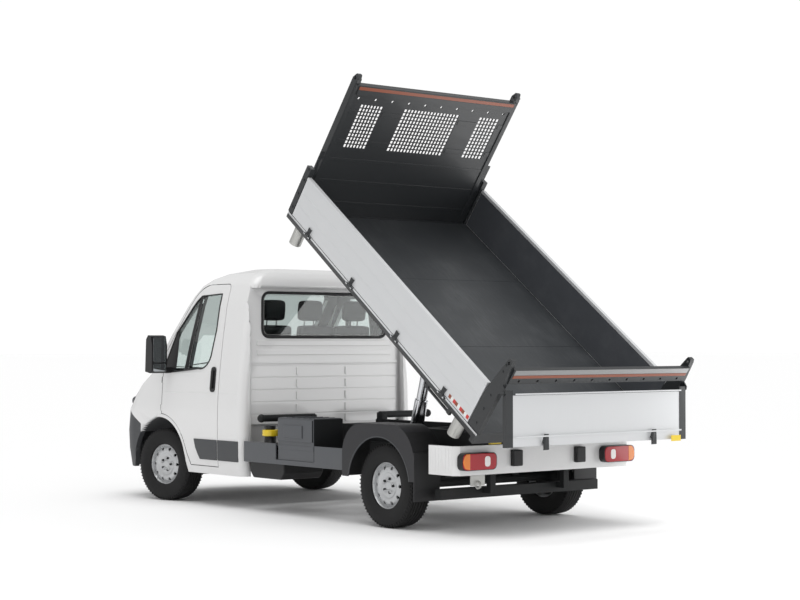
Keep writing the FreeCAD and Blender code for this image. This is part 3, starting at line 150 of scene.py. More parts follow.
def settle(piece):
    """Puts a piece's place, turn and scale into its mesh."""
    take(piece)
    bpy.ops.object.transform_apply(location=True, rotation=True, scale=True)
    return piece


def named(name):
    """The piece that was just added, with its name."""
    piece = bpy.context.object
    piece.name = name
    return piece


def open_mesh():
    """Opens the active piece for shaping, with all of it selected."""
    bpy.ops.object.mode_set(mode="EDIT")
    bpy.ops.mesh.select_all(action="SELECT")


def close_mesh():
    """Turns all faces outwards and ends the shaping."""
    bpy.ops.mesh.select_all(action="SELECT")
    bpy.ops.mesh.normals_make_consistent(inside=False)
    bpy.ops.object.mode_set(mode="OBJECT")


def extrude(step):
    """Draws what is selected out by a step."""
    bpy.ops.mesh.extrude_region_move(TRANSFORM_OT_translate={"value": step})


def worked(piece, kind, **values):
    """Puts a modifier with these values on the active piece and applies it."""
    tool = piece.modifiers.new(kind.title(), kind)
    for key, value in values.items():
        setattr(tool, key, value)
    bpy.ops.object.modifier_apply(modifier=tool.name)
    return piece


def even_shading(piece, angle=ROUND):
    """Shades a piece smooth up to the angle, with flat faces kept flat."""
    take(piece)
    bpy.ops.object.shade_smooth_by_angle(angle=angle)
    return worked(piece, "WEIGHTED_NORMAL", keep_sharp=True, weight=90)


def soften(piece, width, segments=2, angle=30):
    """Rounds the edges sharper than the angle, and shades the rest smooth."""
    take(piece)
    worked(piece, "BEVEL", width=width, segments=segments, limit_method="ANGLE",
           angle_limit=math.radians(angle))
    return even_shading(piece)


def plain_box(name, low, high):
    """A box between two corners."""
    low, high = Vector(low), Vector(high)
    deselect()
    bpy.ops.mesh.primitive_cube_add(size=1, location=(low + high) / 2)
    piece = named(name)
    piece.scale = high - low
    return settle(piece)


def block(name, low, high, bevel=0.003, segments=2):
    """A box between two corners, its edges rounded."""
    return soften(plain_box(name, low, high), bevel, segments)


def side_block(name, side, near, far, low, high, bevel):
    """A block at the truck's side, from near to far off its middle; low and high are its (y, z) corners."""
    ends = sorted((side * near, side * far))
    return block(name, (ends[0], *low), (ends[1], *high), bevel)


def bar(name, start, end, radius, sides=24, bevel=0.0015):
    """A round bar from one point to another."""
    start, end = Vector(start), Vector(end)
    deselect()
    bpy.ops.mesh.primitive_cylinder_add(vertices=sides, radius=radius, depth=(end - start).length,
                                        location=(start + end) / 2,
                                        rotation=(end - start).to_track_quat("Z", "Y").to_euler())
    return soften(settle(named(name)), bevel)


def cap(name, centre, axis, radius, height, sides=32, bevel=0.002):
    """A low round cap or bolt head that stands on a point and faces along an axis."""
    return bar(name, centre, Vector(centre) + Vector(axis).normalized() * height, radius, sides, bevel)


PLANES = {"x": lambda a, b, c: (c, a, b), "y": lambda a, b, c: (a, c, b), "z": lambda a, b, c: (a, b, c)}


def sheet(name, outline, axis, level, fill="NGON"):
    """A bare face or ring of edges with an outline's corners, at one level along an axis."""
    deselect()
    bpy.ops.mesh.primitive_circle_add(vertices=len(outline), fill_type=fill)
    piece = named(name)
    for corner, (a, b) in zip(piece.data.vertices, outline):
        corner.co = PLANES[axis](a, b, level)
    return piece


def plate(name, outline, axis, low, high, bevel=0.002, segments=2):
    """A plate cut to an outline and as thick as from low to high along one axis."""
    piece = sheet(name, outline, axis, low)
    open_mesh()
    extrude(PLANES[axis](0, 0, high - low))
    close_mesh()
    return soften(piece, bevel, segments)


def ring(name, centre, axis, inner, outer, thick, sides=48, bevel=0.002):
    """A flat round ring about an axis: a disc whose middle is taken out, then made thick."""
    deselect()
    bpy.ops.mesh.primitive_circle_add(vertices=sides, radius=outer, fill_type="NGON")
    piece = named(name)
    open_mesh()
    bpy.ops.mesh.inset(thickness=outer - inner)
    bpy.ops.mesh.delete(type="FACE")
    bpy.ops.mesh.select_all(action="SELECT")
    extrude((0, 0, thick))
    close_mesh()
    piece.rotation_euler = Vector(axis).to_track_quat("Z", "Y").to_euler()
    piece.location = centre
    return soften(settle(piece), bevel)


def bead(name, points, radius, closed=False, sides=2):
    """A round strip that follows a line of points."""
    deselect()
    bpy.ops.mesh.primitive_circle_add(vertices=len(points), fill_type="NOTHING")
    piece = bpy.context.object
    for corner, point in zip(piece.data.vertices, points):
        corner.co = point
    if not closed:
        ends = {0, len(points) - 1}
        for edge in piece.data.edges:
            edge.select = set(edge.vertices) == ends
        for corner in piece.data.vertices:
            corner.select = corner.index in ends
        bpy.ops.object.mode_set(mode="EDIT")
        bpy.ops.mesh.select_mode(type="EDGE")
        bpy.ops.mesh.delete(type="EDGE")
        bpy.ops.mesh.select_mode(type="VERT")
        bpy.ops.object.mode_set(mode="OBJECT")
    bpy.ops.object.convert(target="CURVE")
    line = bpy.context.object.data
    line.bevel_depth = radius
    line.bevel_resolution = sides
    line.use_fill_caps = True
    bpy.ops.object.convert(target="MESH")
    bpy.ops.object.shade_smooth_by_angle(angle=ROUND)
    return named(name)


def cushion(name, low, high, edge, lean=0.0):
    """A stuffed pad between two corners, crowned and round at its edges, leaned back about its foot."""
    piece = plain_box(name, low, high)
    foot = Vector(((low.x + high.x) / 2, (low.y + high.y) / 2, low.z))
    open_mesh()
    bpy.ops.mesh.bevel(offset=edge, segments=2, affect="EDGES")
    bpy.ops.object.mode_set(mode="OBJECT")
    worked(piece, "SUBSURF", levels=3, render_levels=3)
    piece.matrix_world = Matrix.Translation(foot) @ Matrix.Rotation(-lean, 4, "X") @ Matrix.Translation(-foot)
    settle(piece)
    bpy.ops.object.shade_smooth()
    return piece


def own_copy(piece):
    """A copy of a piece with a mesh of its own."""
    twin = piece.copy()
    twin.data = piece.data.copy()
    bpy.context.scene.collection.objects.link(twin)
    return twin


def in_steps(piece, steps):
    """A piece and its copies, each moved by one of the steps."""
    made = [piece]
    for step in steps:
        twin = own_copy(piece)
        twin.location = step
        made.append(settle(twin))
    return made


def all_round(piece, count):
    """A piece and its copies, spread evenly round a wheel's axle."""
    made = [piece]
    for k in range(1, count):
        twin = own_copy(piece)
        twin.rotation_euler = (0, 0, math.tau * k / count)
        made.append(settle(twin))
    return made


def join(name, *pieces):
    """Several pieces as one."""
    take(*pieces)
    if len(pieces) > 1:
        bpy.ops.object.join()
    return named(name)


def dress(piece, key, body="truck"):
    """Gives a finished piece its finish and the body that it moves with."""
    piece.data.materials.clear()
    piece.data.materials.append(FINISHES[key])
    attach(piece, body)
    return piece


def bed_trim(name, key, *pieces, body="bed"):
    """Joins pieces that were made on the level bed, tips them up to where it stands and dresses them."""
    piece = join(name, *pieces)
    piece.matrix_world = BED
    dress(settle(piece), key, body)


def part_paint(piece, key, wanted):
    """Gives the faces that the test picks a second finish."""
    piece.data.materials.append(FINISHES[key])
    place = len(piece.data.materials) - 1
    for face in piece.data.polygons:
        if wanted(face):
            face.material_index = place


def skin(node, edge=0.0, smooth=32):
    """A merged copy of a CAD node that stands for it, shaded smooth, with its edges softened."""
    piece = own_copy(frame["nodes"][node])
    piece.name = node + "_skin"
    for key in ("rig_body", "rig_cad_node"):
        del piece[key]
    piece.parent = None
    take(piece)
    open_mesh()
    bpy.ops.mesh.remove_doubles(threshold=WELD)
    if edge:
        bpy.ops.mesh.dissolve_limited(angle_limit=FLAT)
    bpy.ops.object.mode_set(mode="OBJECT")
    smooth = math.radians(smooth)
    if edge:
        worked(piece, "BEVEL", width=edge, segments=2, limit_method="ANGLE", angle_limit=smooth)
    even_shading(piece, smooth)
    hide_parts(node)
    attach(piece, BODY_OF[node])


def skin_of(node):
    return bpy.data.objects[node + "_skin"]


# ------------------------------------------------------------------ outlines
def rectangle(left, low, right, high):
    return [(left, low), (right, low), (right, high), (left, high)]


def rounded(outline, radius, steps=5):
    """An outline with its corners turned into arcs."""
    points = []
    for i, corner in enumerate(outline):
        corner = Vector(corner)
        before = Vector(outline[i - 1]) - corner
        after = Vector(outline[(i + 1) % len(outline)]) - corner
        reach = min(radius, before.length * 0.45, after.length * 0.45)
        start, end = corner + before.normalized() * reach, corner + after.normalized() * reach
        for k in range(steps + 1):
            t = k / steps
            points.append(start * (1 - t) ** 2 + corner * 2 * t * (1 - t) + end * t ** 2)
    return points


def arc(start, middle, end, steps):
    """Points along the circle through three points, the first of them left out."""
    (ax, ay), (bx, by), (cx, cy) = start, middle, end
    a, b, c = (x * x + y * y for x, y in (start, middle, end))
    d = 2 * (ax * (by - cy) + bx * (cy - ay) + cx * (ay - by))
    ux = (a * (by - cy) + b * (cy - ay) + c * (ay - by)) / d
    uy = (a * (cx - bx) + b * (ax - cx) + c * (bx - ax)) / d
    first, last = math.atan2(ay - uy, ax - ux), math.atan2(cy - uy, cx - ux)
    sweep = (last - first + math.pi) % math.tau - math.pi
    radius = math.hypot(ax - ux, ay - uy)
    angles = [first + sweep * k / steps for k in range(1, steps + 1)]
    return [(ux + radius * math.cos(angle), uy + radius * math.sin(angle)) for angle in angles]


def spaced(outline, step, closed=True):
    """The same outline with points no further apart than the step."""
    points = []
    ends = list(outline[1:]) + ([outline[0]] if closed else [])
    for start, end in zip(outline, ends):
        start, end = Vector(start), Vector(end)
        parts = max(1, math.ceil((end - start).length / step))
        points += [start.lerp(end, k / parts) for k in range(parts)]
    return points if closed else points + [Vector(outline[-1])]


def grown(outline, by):
    """An outline moved outwards, or inwards for less than nothing."""
    points = [Vector(point) for point in outline]
    area = sum(a.x * b.y - b.x * a.y for a, b in zip(points, points[1:] + points[:1]))
    turn = 1 if area > 0 else -1
    moved = []
    for i, point in enumerate(points):
        before = (point - points[i - 1]).normalized()
        after = (points[(i + 1) % len(points)] - point).normalized()
        way = before + after
        out = Vector((way.y, -way.x)).normalized() * turn
        stretch = max(0.5, Vector((before.y, -before.x)).dot(out) * turn)
        moved.append(point + out * by / stretch)
    return moved


# ------------------------------------------------------------------ fitting to the panels
PANELS = {}


def panel(node):
    """The surface of a CAD node, for rays to meet."""
    if node not in PANELS:
        mesh = frame["nodes"][node].data
        PANELS[node] = BVHTree.FromPolygons([corner.co for corner in mesh.vertices],
                                            [face.vertices for face in mesh.polygons])
    return PANELS[node]


def meet(node, start, toward):
    """Where a line from start first meets a CAD node."""
    point = panel(node).ray_cast(start, Vector(toward))[0]
    if point is None:
        raise RuntimeError("nothing of %s lies ahead of %s" % (node, tuple(start)))
    return point


def beside(node, side, y, z):
    """Where a line from the truck's side meets a node."""
    return meet(node, at(side * OUTSIDE, y, z), (-side, 0, 0))


def ahead(node, x, z):
    """Where a line from ahead of the nose meets a node."""
    return meet(node, at(x, AHEAD, z), (0, 1, 0))


def behind(node, x, z):
    """Where a line from behind the cab meets a node."""
    return meet(node, at(x, BEHIND, z), (0, -1, 0))


def patch(name, outline, axis, far, node, thick, lift=0.0, cuts=14, bevel=0.0015, across=0):
    """A thin panel cut to an outline and laid on a CAD node, seen along one axis from far off."""
    place = PLANES[axis]
    piece = sheet(name, outline, axis, far)
    bpy.ops.object.mode_set(mode="EDIT")
    firsts, seconds = zip(*outline)
    for count, a, b, levels in ((cuts, 0, 1, seconds), (across, 1, 0, firsts)):
        low, high = min(levels), max(levels)
        for k in range(1, count):
            level = low + (high - low) * k / count
            bpy.ops.mesh.select_all(action="SELECT")
            bpy.ops.mesh.bisect(plane_co=place(a * level, b * level, 0), plane_no=place(a, b, 0))
    bpy.ops.object.mode_set(mode="OBJECT")
    worked(piece, "SHRINKWRAP", target=frame["nodes"][node], wrap_method="PROJECT", use_project_x=axis == "x",
           use_project_y=axis == "y", use_project_z=axis == "z", use_positive_direction=far < 0,
           use_negative_direction=far > 0)
    open_mesh()
    bpy.ops.transform.translate(value=place(0, 0, math.copysign(lift, far)))
    extrude(place(0, 0, math.copysign(thick, far)))
    close_mesh()
    return soften(piece, bevel, 2, 50)


def side_patch(name, outline, step, side, node, *sizes):
    """A patch on the truck's side; its outline gives lengths back from the front axle and heights."""
    line = spaced([(y + AXLE_Y, z) for y, z in outline], step)
    return patch(name, line, "x", side * OUTSIDE, node, *sizes)


# ------------------------------------------------------------------ effects that several finishes share
COLOUR, NUMBER = "NodeSocketColor", "NodeSocketFloat"
WHITE = (1, 1, 1, 1)
MASKED = [("Colour", COLOUR), ("Mask", NUMBER)]


def effect(name, inputs, outputs):
    """An empty node group with named sockets, and its two end nodes."""
    tree = bpy.data.node_groups.new(name, "ShaderNodeTree")
    for label, kind, value in inputs:
        tree.interface.new_socket(label, in_out="INPUT", socket_type=kind).default_value = value
    for label, kind in outputs:
        tree.interface.new_socket(label, in_out="OUTPUT", socket_type=kind)
    return tree, tree.nodes.new("NodeGroupInput"), tree.nodes.new("NodeGroupOutput")


def plug(tree, socket, value):
    """Gives a socket a number, or links another socket to it."""
    if isinstance(value, (int, float)):
        socket.default_value = value
    else:
        tree.links.new(value, socket)


def sum_node(tree, operation, first, second):
    """The outcome of one sum on two numbers or sockets."""
    node = tree.nodes.new("ShaderNodeMath")
    node.operation = operation
    for socket, value in zip(node.inputs, (first, second)):
        plug(tree, socket, value)
    return node.outputs[0]


def noise(tree, scale, detail, stretch=(1, 1, 1)):
    """Noise over the piece's own place, stretched along the axes."""
    place = tree.nodes.new("ShaderNodeTexCoord")
    turn = tree.nodes.new("ShaderNodeMapping")
    turn.inputs["Scale"].default_value = stretch
    tree.links.new(place.outputs["Object"], turn.inputs["Vector"])
    cloud = tree.nodes.new("ShaderNodeTexNoise")
    cloud.inputs["Detail"].default_value = detail
    tree.links.new(turn.outputs[0], cloud.inputs["Vector"])
    plug(tree, cloud.inputs["Scale"], scale)
    return cloud.outputs["Fac"]


def laid_over(tree, start, end, raw, gain, top):
    """Ends an effect: as strong as the raw mask and the amount make it, the top colour covers the first."""
    mask = sum_node(tree, "MULTIPLY", sum_node(tree, "MULTIPLY", raw, start.outputs["Amount"]), gain)
    mix = tree.nodes.new("ShaderNodeMix")
    mix.data_type = "RGBA"
    tree.links.new(mask, mix.inputs["Factor"])
    tree.links.new(start.outputs["Colour"], mix.inputs["A"])
    tree.links.new(start.outputs[top], mix.inputs["B"])
    tree.links.new(mix.outputs["Result"], end.inputs["Colour"])
    tree.links.new(mask, end.inputs["Mask"])
    return tree


def road_dust():
    """Dust that gathers low down: the colour under it, and how much there is."""
    inputs = [("Colour", COLOUR, WHITE), ("Dust", COLOUR, (0.20, 0.195, 0.185, 1)), ("Amount", NUMBER, 0.2),
              ("Height", NUMBER, 0.7)]
    tree, start, end = effect("Road dust", inputs, MASKED)
    place = tree.nodes.new("ShaderNodeTexCoord")
    axes = tree.nodes.new("ShaderNodeSeparateXYZ")
    tree.links.new(place.outputs["Object"], axes.inputs[0])
    share = sum_node(tree, "DIVIDE", axes.outputs["Z"], start.outputs["Height"])
    low = sum_node(tree, "MAXIMUM", sum_node(tree, "SUBTRACT", 1.0, share), 0.0)
    return laid_over(tree, start, end, sum_node(tree, "MULTIPLY", low, noise(tree, 7.0, 6.0)), 2.0, "Dust")


def scuffs():
    """Long rub marks and blotches from loads sliding along the bed: a lighter colour and a mask."""
    tree, start, end = effect("Scuffs", [("Colour", COLOUR, WHITE), ("Mark", COLOUR, WHITE),
                                         ("Amount", NUMBER, 0.3)], MASKED)
    both = sum_node(tree, "MULTIPLY", noise(tree, 30.0, 5.0, (6.0, 0.25, 0.25)), noise(tree, 3.0, 4.0))
    over = sum_node(tree, "MAXIMUM", sum_node(tree, "SUBTRACT", both, 0.22), 0.0)
    return laid_over(tree, start, end, over, 4.0, "Mark")


def fine_grain():
    """The grain of moulded plastic and rubber, and the slight waviness of paint, as a height."""
    tree, start, end = effect("Fine grain", [("Scale", NUMBER, 400.0)], [("Height", NUMBER)])
    tree.links.new(noise(tree, start.outputs["Scale"], 3.0), end.inputs["Height"])
    return tree


def weave():
    """A plain weave, as a height."""
    tree, start, end = effect("Weave", [("Scale", NUMBER, 320.0)], [("Height", NUMBER)])
    place = tree.nodes.new("ShaderNodeTexCoord")
    waves = []
    for direction in ("X", "Z"):
        wave = tree.nodes.new("ShaderNodeTexWave")
        wave.bands_direction = direction
        tree.links.new(place.outputs["Object"], wave.inputs["Vector"])
        tree.links.new(start.outputs["Scale"], wave.inputs["Scale"])
        waves.append(wave.outputs["Fac"])
    tree.links.new(sum_node(tree, "MULTIPLY", *waves), end.inputs["Height"])
    return tree


EFFECTS = {"Road dust": road_dust, "Scuffs": scuffs, "Fine grain": fine_grain, "Weave": weave}
TREES = {}


def use(tree, name, **values):
    """Places a shared effect in a material, with its own values."""
    if name not in TREES:
        TREES[name] = EFFECTS[name]()
    node = tree.nodes.new("ShaderNodeGroup")
    node.node_tree = TREES[name]
    for label, value in values.items():
        node.inputs[label].default_value = value
    return node


def finish(name, colour, roughness, metallic=0.0, coat=0.0, dust=0.0, grain=None, scuff=None, cloth=0.0,
           clear=0.0, glow=0.0, gloss=0.5):
    """A material. grain is (scale, depth); scuff is (mark colour, amount); clear lets light through."""
    made = bpy.data.materials.new(name)
    made.use_nodes = True
    tree = made.node_tree
    shader = tree.nodes["Principled BSDF"]
    full = (*colour, 1.0)
    values = {"Base Color": full, "Roughness": roughness, "Metallic": metallic, "Coat Weight": coat,
              "Coat Roughness": 0.04, "Transmission Weight": clear, "Specular IOR Level": gloss}
    if glow:
        values.update({"Emission Color": full, "Emission Strength": glow})
    for label, value in values.items():
        shader.inputs[label].default_value = value
    colour_from = None
    if scuff:
        node = use(tree, "Scuffs", Colour=full, Mark=(*scuff[0], 1.0), Amount=scuff[1])
        colour_from = node.outputs["Colour"]
    if dust:
        node = use(tree, "Road dust", Colour=full, Amount=dust)
        if colour_from:
            tree.links.new(colour_from, node.inputs["Colour"])
        colour_from = node.outputs["Colour"]
        rough = tree.nodes.new("ShaderNodeMapRange")
        rough.inputs["To Min"].default_value = roughness
        rough.inputs["To Max"].default_value = 0.9
        tree.links.new(node.outputs["Mask"], rough.inputs["Value"])
        tree.links.new(rough.outputs["Result"], shader.inputs["Roughness"])
    if colour_from:
        tree.links.new(colour_from, shader.inputs["Base Color"])
    if grain or cloth:
        node = use(tree, "Fine grain", Scale=grain[0]) if grain else use(tree, "Weave", Scale=320.0)
        bump = tree.nodes.new("ShaderNodeBump")
        bump.inputs["Strength"].default_value = 0.5
        bump.inputs["Distance"].default_value = grain[1] if grain else cloth
        tree.links.new(node.outputs["Height"], bump.inputs["Height"])
        tree.links.new(bump.outputs["Normal"], shader.inputs["Normal"])
    return made


FINISHES = {}


def make_finishes(c):
    """Every finish of the truck, from the colours of the panel."""
    FINISHES.update({
        "paint": finish("Gloss paint", c.paint, 0.28, coat=0.6, dust=0.12, grain=(60.0, 0.00003)),
        "frame": finish("Frame paint", c.frame_paint, 0.42, coat=0.15, dust=0.1, grain=(500.0, 0.0001)),
        "chassis": finish("Chassis paint", (0.010, 0.011, 0.012), 0.55, dust=0.06, grain=(300.0, 0.0002),
                          gloss=0.25),
        "floor": finish("Bed steel", c.floor_steel, 0.42, metallic=0.15, grain=(40.0, 0.0002),
                        scuff=((0.10, 0.105, 0.11), 0.5)),
        # the inside of the drop sides, far darker than their outside: painted shade, with scuffs that are
        # wear from loads
        "lining": finish("Board lining", (0.085, 0.091, 0.102), 0.38, metallic=0.2, grain=(60.0, 0.0001),
                         scuff=((0.14, 0.145, 0.155), 0.4)),
        "board": finish("Anodised board", c.boards, 0.42, metallic=0.35, grain=(900.0, 0.00004),
                        scuff=((0.70, 0.71, 0.72), 0.3)),
        "moulding": finish("Grained moulding", c.moulding, 0.55, dust=0.15, grain=(700.0, 0.0002)),
        "skirt": finish("Skirt paint", (0.062, 0.067, 0.076), 0.40, coat=0.2, dust=0.15,
                        grain=(300.0, 0.00008)),
        "guard": finish("Guard plastic", (0.026, 0.026, 0.029), 0.50, dust=0.08, grain=(600.0, 0.0002),
                        gloss=0.35),
        "black": finish("Black plastic", (0.012, 0.012, 0.013), 0.38, dust=0.04, grain=(800.0, 0.0001),
                        gloss=0.35),
        "rubber": finish("Rubber", (0.012, 0.012, 0.013), 0.62, grain=(600.0, 0.0001)),
        "tyre": finish("Tyre rubber", (0.012, 0.012, 0.0125), 0.62, dust=0.02, grain=(350.0, 0.0003),
                       gloss=0.22),
        "glass": finish("Tinted glass", (0.84, 0.90, 0.885), 0.0, clear=1.0),
        "mirror": finish("Mirror glass", (0.55, 0.58, 0.60), 0.03, metallic=1.0),
        "lens": finish("Clear lens", (0.90, 0.92, 0.94), 0.03, clear=0.9),
        "chrome": finish("Reflector", (0.80, 0.81, 0.82), 0.08, metallic=1.0),
        "red": finish("Red lens", (0.36, 0.002, 0.010), 0.16, coat=0.25, glow=0.05),
        "orange": finish("Orange lens", (0.72, 0.20, 0.02), 0.16, coat=0.25, glow=0.05),
        "white_lens": finish("White lens", (0.85, 0.82, 0.80), 0.12, coat=0.8),
        "stripe": finish("Reflective stripe", c.stripe, 0.35, grain=(1200.0, 0.00004)),
        "stripe_red": finish("Red stripe", (0.55, 0.035, 0.03), 0.35, grain=(1200.0, 0.00004)),
        "pale": finish("Pale label", (0.78, 0.78, 0.77), 0.45, grain=(900.0, 0.00002)),
        "yellow": finish("Yellow plastic", (0.80, 0.58, 0.02), 0.35, coat=0.3, grain=(500.0, 0.00005)),
        "zinc": finish("Zinc plate", (0.50, 0.50, 0.48), 0.40, metallic=0.8, dust=0.15, grain=(80.0, 0.0001)),
        "steel": finish("Bare steel", (0.30, 0.30, 0.30), 0.38, metallic=0.85, dust=0.2,
                        grain=(120.0, 0.0001)),
        "wheel": finish("Wheel silver", (0.56, 0.57, 0.58), 0.33, metallic=0.65, dust=0.15,
                        grain=(200.0, 0.00004)),
        "ram": finish("Ram chrome", (0.62, 0.63, 0.65), 0.12, metallic=1.0, grain=(150.0, 0.00002)),
        "prop": finish("Red paint", (0.42, 0.02, 0.018), 0.35, coat=0.4, dust=0.1, grain=(100.0, 0.00004)),
        "cloth": finish("Upholstery", (0.022, 0.023, 0.026), 0.9, cloth=0.0004),
        "trim": finish("Cab trim", (0.05, 0.052, 0.056), 0.6, grain=(600.0, 0.0002)),
        "iron": finish("Cast block", (0.11, 0.11, 0.115), 0.6, metallic=0.4, grain=(250.0, 0.0006)),
    })


NODES_OF = {
    "paint": ["cab_shell", "bonnet", *pair("door"), "rear_beam"],
    "black": ["grille", "steering_wheel", "fuel_tank", "oil_filler", "tail_lamps", *pair("mirror")],
    "glass": ["windscreen", "rear_window", *pair("door_glass")],
    "chassis": ["front_axle", "rear_axle", "leaf_springs", "chassis_frame", "cross_members", "outriggers",
                "tipper_subframe", "underrun_bar", "ram_barrel"],
    "steel": ["exhaust", *pair("knuckle")], "moulding": ["front_bumper"], "lens": ["headlamps"],
    "trim": ["dashboard"], "cloth": ["seats"], "iron": ["engine"], "guard": ["mudguards"],
    "skirt": ["side_skirts", "pump_box"], "prop": ["safety_prop"], "rubber": ["rear_buffers"],
    "floor": ["bed_floor"], "zinc": ["bed_sockets"], "frame": ["headboard", "rear_rack"],
    "board": [*pair("side"), "tailgate"], "ram": ["ram_stage_%d" % stage for stage in (1, 2, 3, 4)],
    "wheel": ["rim_" + corner for corner in CORNERS], "tyre": ["tyre_" + corner for corner in CORNERS],
}
# merged copies stand for these nodes, and the edges of some get a radius
SMOOTH = ["bed_floor", *pair("side"), "tailgate", "dashboard", "cab_shell", "bonnet", *pair("door"),
          "front_bumper", "grille", "headlamps", "windscreen", "rear_window", *pair("door_glass"),
          *pair("mirror"), "steering_wheel", "bed_sockets", "exhaust", "mudguards", "rear_axle",
          *pair("knuckle"), "ram_barrel", "tipper_subframe", "leaf_springs", "headboard", "rear_rack",
          "rear_beam", "pump_box", "fuel_tank", "side_skirts", "underrun_bar", "safety_prop",
          "rear_buffers", "oil_filler", *NODES_OF["ram"]]
EDGES = {"dashboard": 0.012, "bonnet": 0.003, "mirror_left": 0.010, "mirror_right": 0.010,
         "mudguards": 0.003, "rear_rack": 0.002, "rear_beam": 0.003, "pump_box": 0.006, "fuel_tank": 0.012,
         "side_skirts": 0.002, "underrun_bar": 0.003, "safety_prop": 0.003, "rear_buffers": 0.008}

CAB_REACH = 2.6                                  # longer than any line inside the cab
ARCH_REACH = .56                                 # past the front arches' lining, from the wheel's centre
BAR_FOOT = (.423, 1.23)                          # (y, z) on the middle line of the doors' quarter bars
BAR_LEAN = .19                                   # how far back those lean on each metre up


def faces_itself(face):
    """Whether a face of the cab looks at another part of the cab, as those inside do."""
    start = face.center + face.normal * 0.004
    return panel("cab_shell").ray_cast(start, face.normal, CAB_REACH)[0] is not None


def lines_the_arch(face):
    """Whether a face of the cab is part of the front wheel arch's lining."""
    hub = Vector((0, *JOINTS["spin_front_left"]["pos_m"][1:]))
    inward = hub - Vector((0, face.center.y, face.center.z))
    return (inward.length < ARCH_REACH and abs(face.center.x) < .995
            and face.normal.dot(inward.normalized()) > .6)


def beside_bar(face):
    """Whether a face of a door is the cut of its window, next to the quarter bar."""
    middle = AXLE_Y + BAR_FOOT[0] + (face.center.z - BAR_FOOT[1]) * BAR_LEAN
    return abs(face.normal.x) < .9 and 1.25 < face.center.z < 1.99 and abs(face.center.y - middle) < .040


class TIPPER_OT_skins(bpy.types.Operator):
    """Puts a finish on every piece of the frame, and smooths the curved ones"""
    bl_idname = "tipper.skins"
    bl_label = "Panels and frame"

    def execute(self, context):
        make_finishes(context.scene.tipper_colours)
        for key, nodes in NODES_OF.items():
            for node in nodes:
                frame["nodes"][node].data.materials.clear()
                frame["nodes"][node].data.materials.append(FINISHES[key])
        for node in SMOOTH:
            skin(node, EDGES.get(node, 0.0))
        back = 1.30 + AXLE_Y
        shell = skin_of("cab_shell")
        inner = {face.index for face in shell.data.polygons
                 if face.center.y < back and (faces_itself(face) or lines_the_arch(face))}
        part_paint(shell, "trim", lambda face: face.index in inner)
        for name, side in SIDES.items():
            part_paint(skin_of("door_" + name), "trim", lambda face: face.normal.x * side < -.3)
        return {"FINISHED"}


class TIPPER_OT_cab_seals(bpy.types.Operator):
    """Seals round the windows, and the dark quarter bars and sails of the doors"""
    bl_idname = "tipper.cab_seals"
    bl_label = "Window seals"

    def execute(self, context):
        window = [(.080, 1.243), (.640, 1.290), *arc((.640, 1.290), (.785, 1.332), (.838, 1.440), 8),
                  (.878, 1.640), (.884, 1.980), (.560, 1.966), (.500, 1.925), (.215, 1.620), (.080, 1.345)]
        quarter = [(.3975, 1.262), (.4595, 1.262), (.5850, 1.967), (.5435, 1.967)]
        sail = [(.088, 1.257), (.255, 1.271), (.262, 1.420), (.255, 1.646), (.222, 1.608), (.150, 1.468),
                (.088, 1.346)]
        for name, side in SIDES.items():
            door, glass = "door_" + name, "door_glass_" + name
            line = [beside(door, side, y, z) for y, z in spaced(grown(window, 0.006), 0.03)]
            dress(bead("window_seal_" + name, line, 0.0075, True), "rubber", door)
            for piece in (side_patch("quarter_bar_" + name, quarter, 0.1, side, door, 0.002),
                          side_patch("mirror_sail_" + name, sail, 0.1, side, glass, 0.006, 0.004)):
                dress(piece, "black", door)
            part_paint(skin_of(door), "black", beside_bar)
        rear = rounded(rectangle(-.737, 1.581, .737, 1.994), 0.085, 8)
        line = [behind("cab_shell", x, z) for x, z in spaced(rear, 0.06)]
        dress(bead("rear_seal", line, 0.014, True), "rubber")
        line = [behind("rear_window", x, z) + Vector((0, .004, 0))
                for x, z in spaced(grown(rear, -0.022), 0.06)]
        dress(bead("rear_seal_key", line, 0.0018, True), "zinc")
        front = rounded([(-.868, 1.272), (.868, 1.272), (.775, 1.960), (.700, 2.052), (-.700, 2.052),
                         (-.775, 1.960)], 0.05, 4)
        line = [ahead("cab_shell", x, z) for x, z in spaced(grown(front, 0.007), 0.04)]
        dress(bead("windscreen_seal", line, 0.0085, True), "rubber")
        return {"FINISHED"}


class TIPPER_OT_wipers(bpy.types.Operator):
    """Two wipers that lie along the foot of the windscreen"""
    bl_idname = "tipper.wipers"
    bl_label = "Wipers"

    def execute(self, context):
        over, rise = Vector((0, -0.018, 0.012)), Vector((0, -0.006, 0.004))
        for name, foot, tip in (("left", (.42, 1.285), (-.12, 1.345)),
                                ("right", (-.16, 1.282), (-.70, 1.350))):
            start, end = [ahead("windscreen", x, z) + over for x, z in (foot, tip)]
            arm = bar("wiper_arm_" + name, start, start.lerp(end, 0.62), 0.006, 12)
            hub = ahead("windscreen", *foot) - Vector((0, -.004, .004))
            pivot = cap("wiper_pivot_" + name, hub, (0, -.75, .65), 0.014, 0.030)
            middle = ((foot[0] + tip[0]) / 2, (foot[1] + tip[1]) / 2)
            line = [ahead("windscreen", x, z + .012) + rise
                    for x, z in ((foot[0] - .04, foot[1]), middle, tip)]
            blade = bead("wiper_blade_" + name, spaced(line, 0.05, False), 0.0055)
            dress(join("wiper_" + name, arm, pivot, blade), "black")
        return {"FINISHED"}


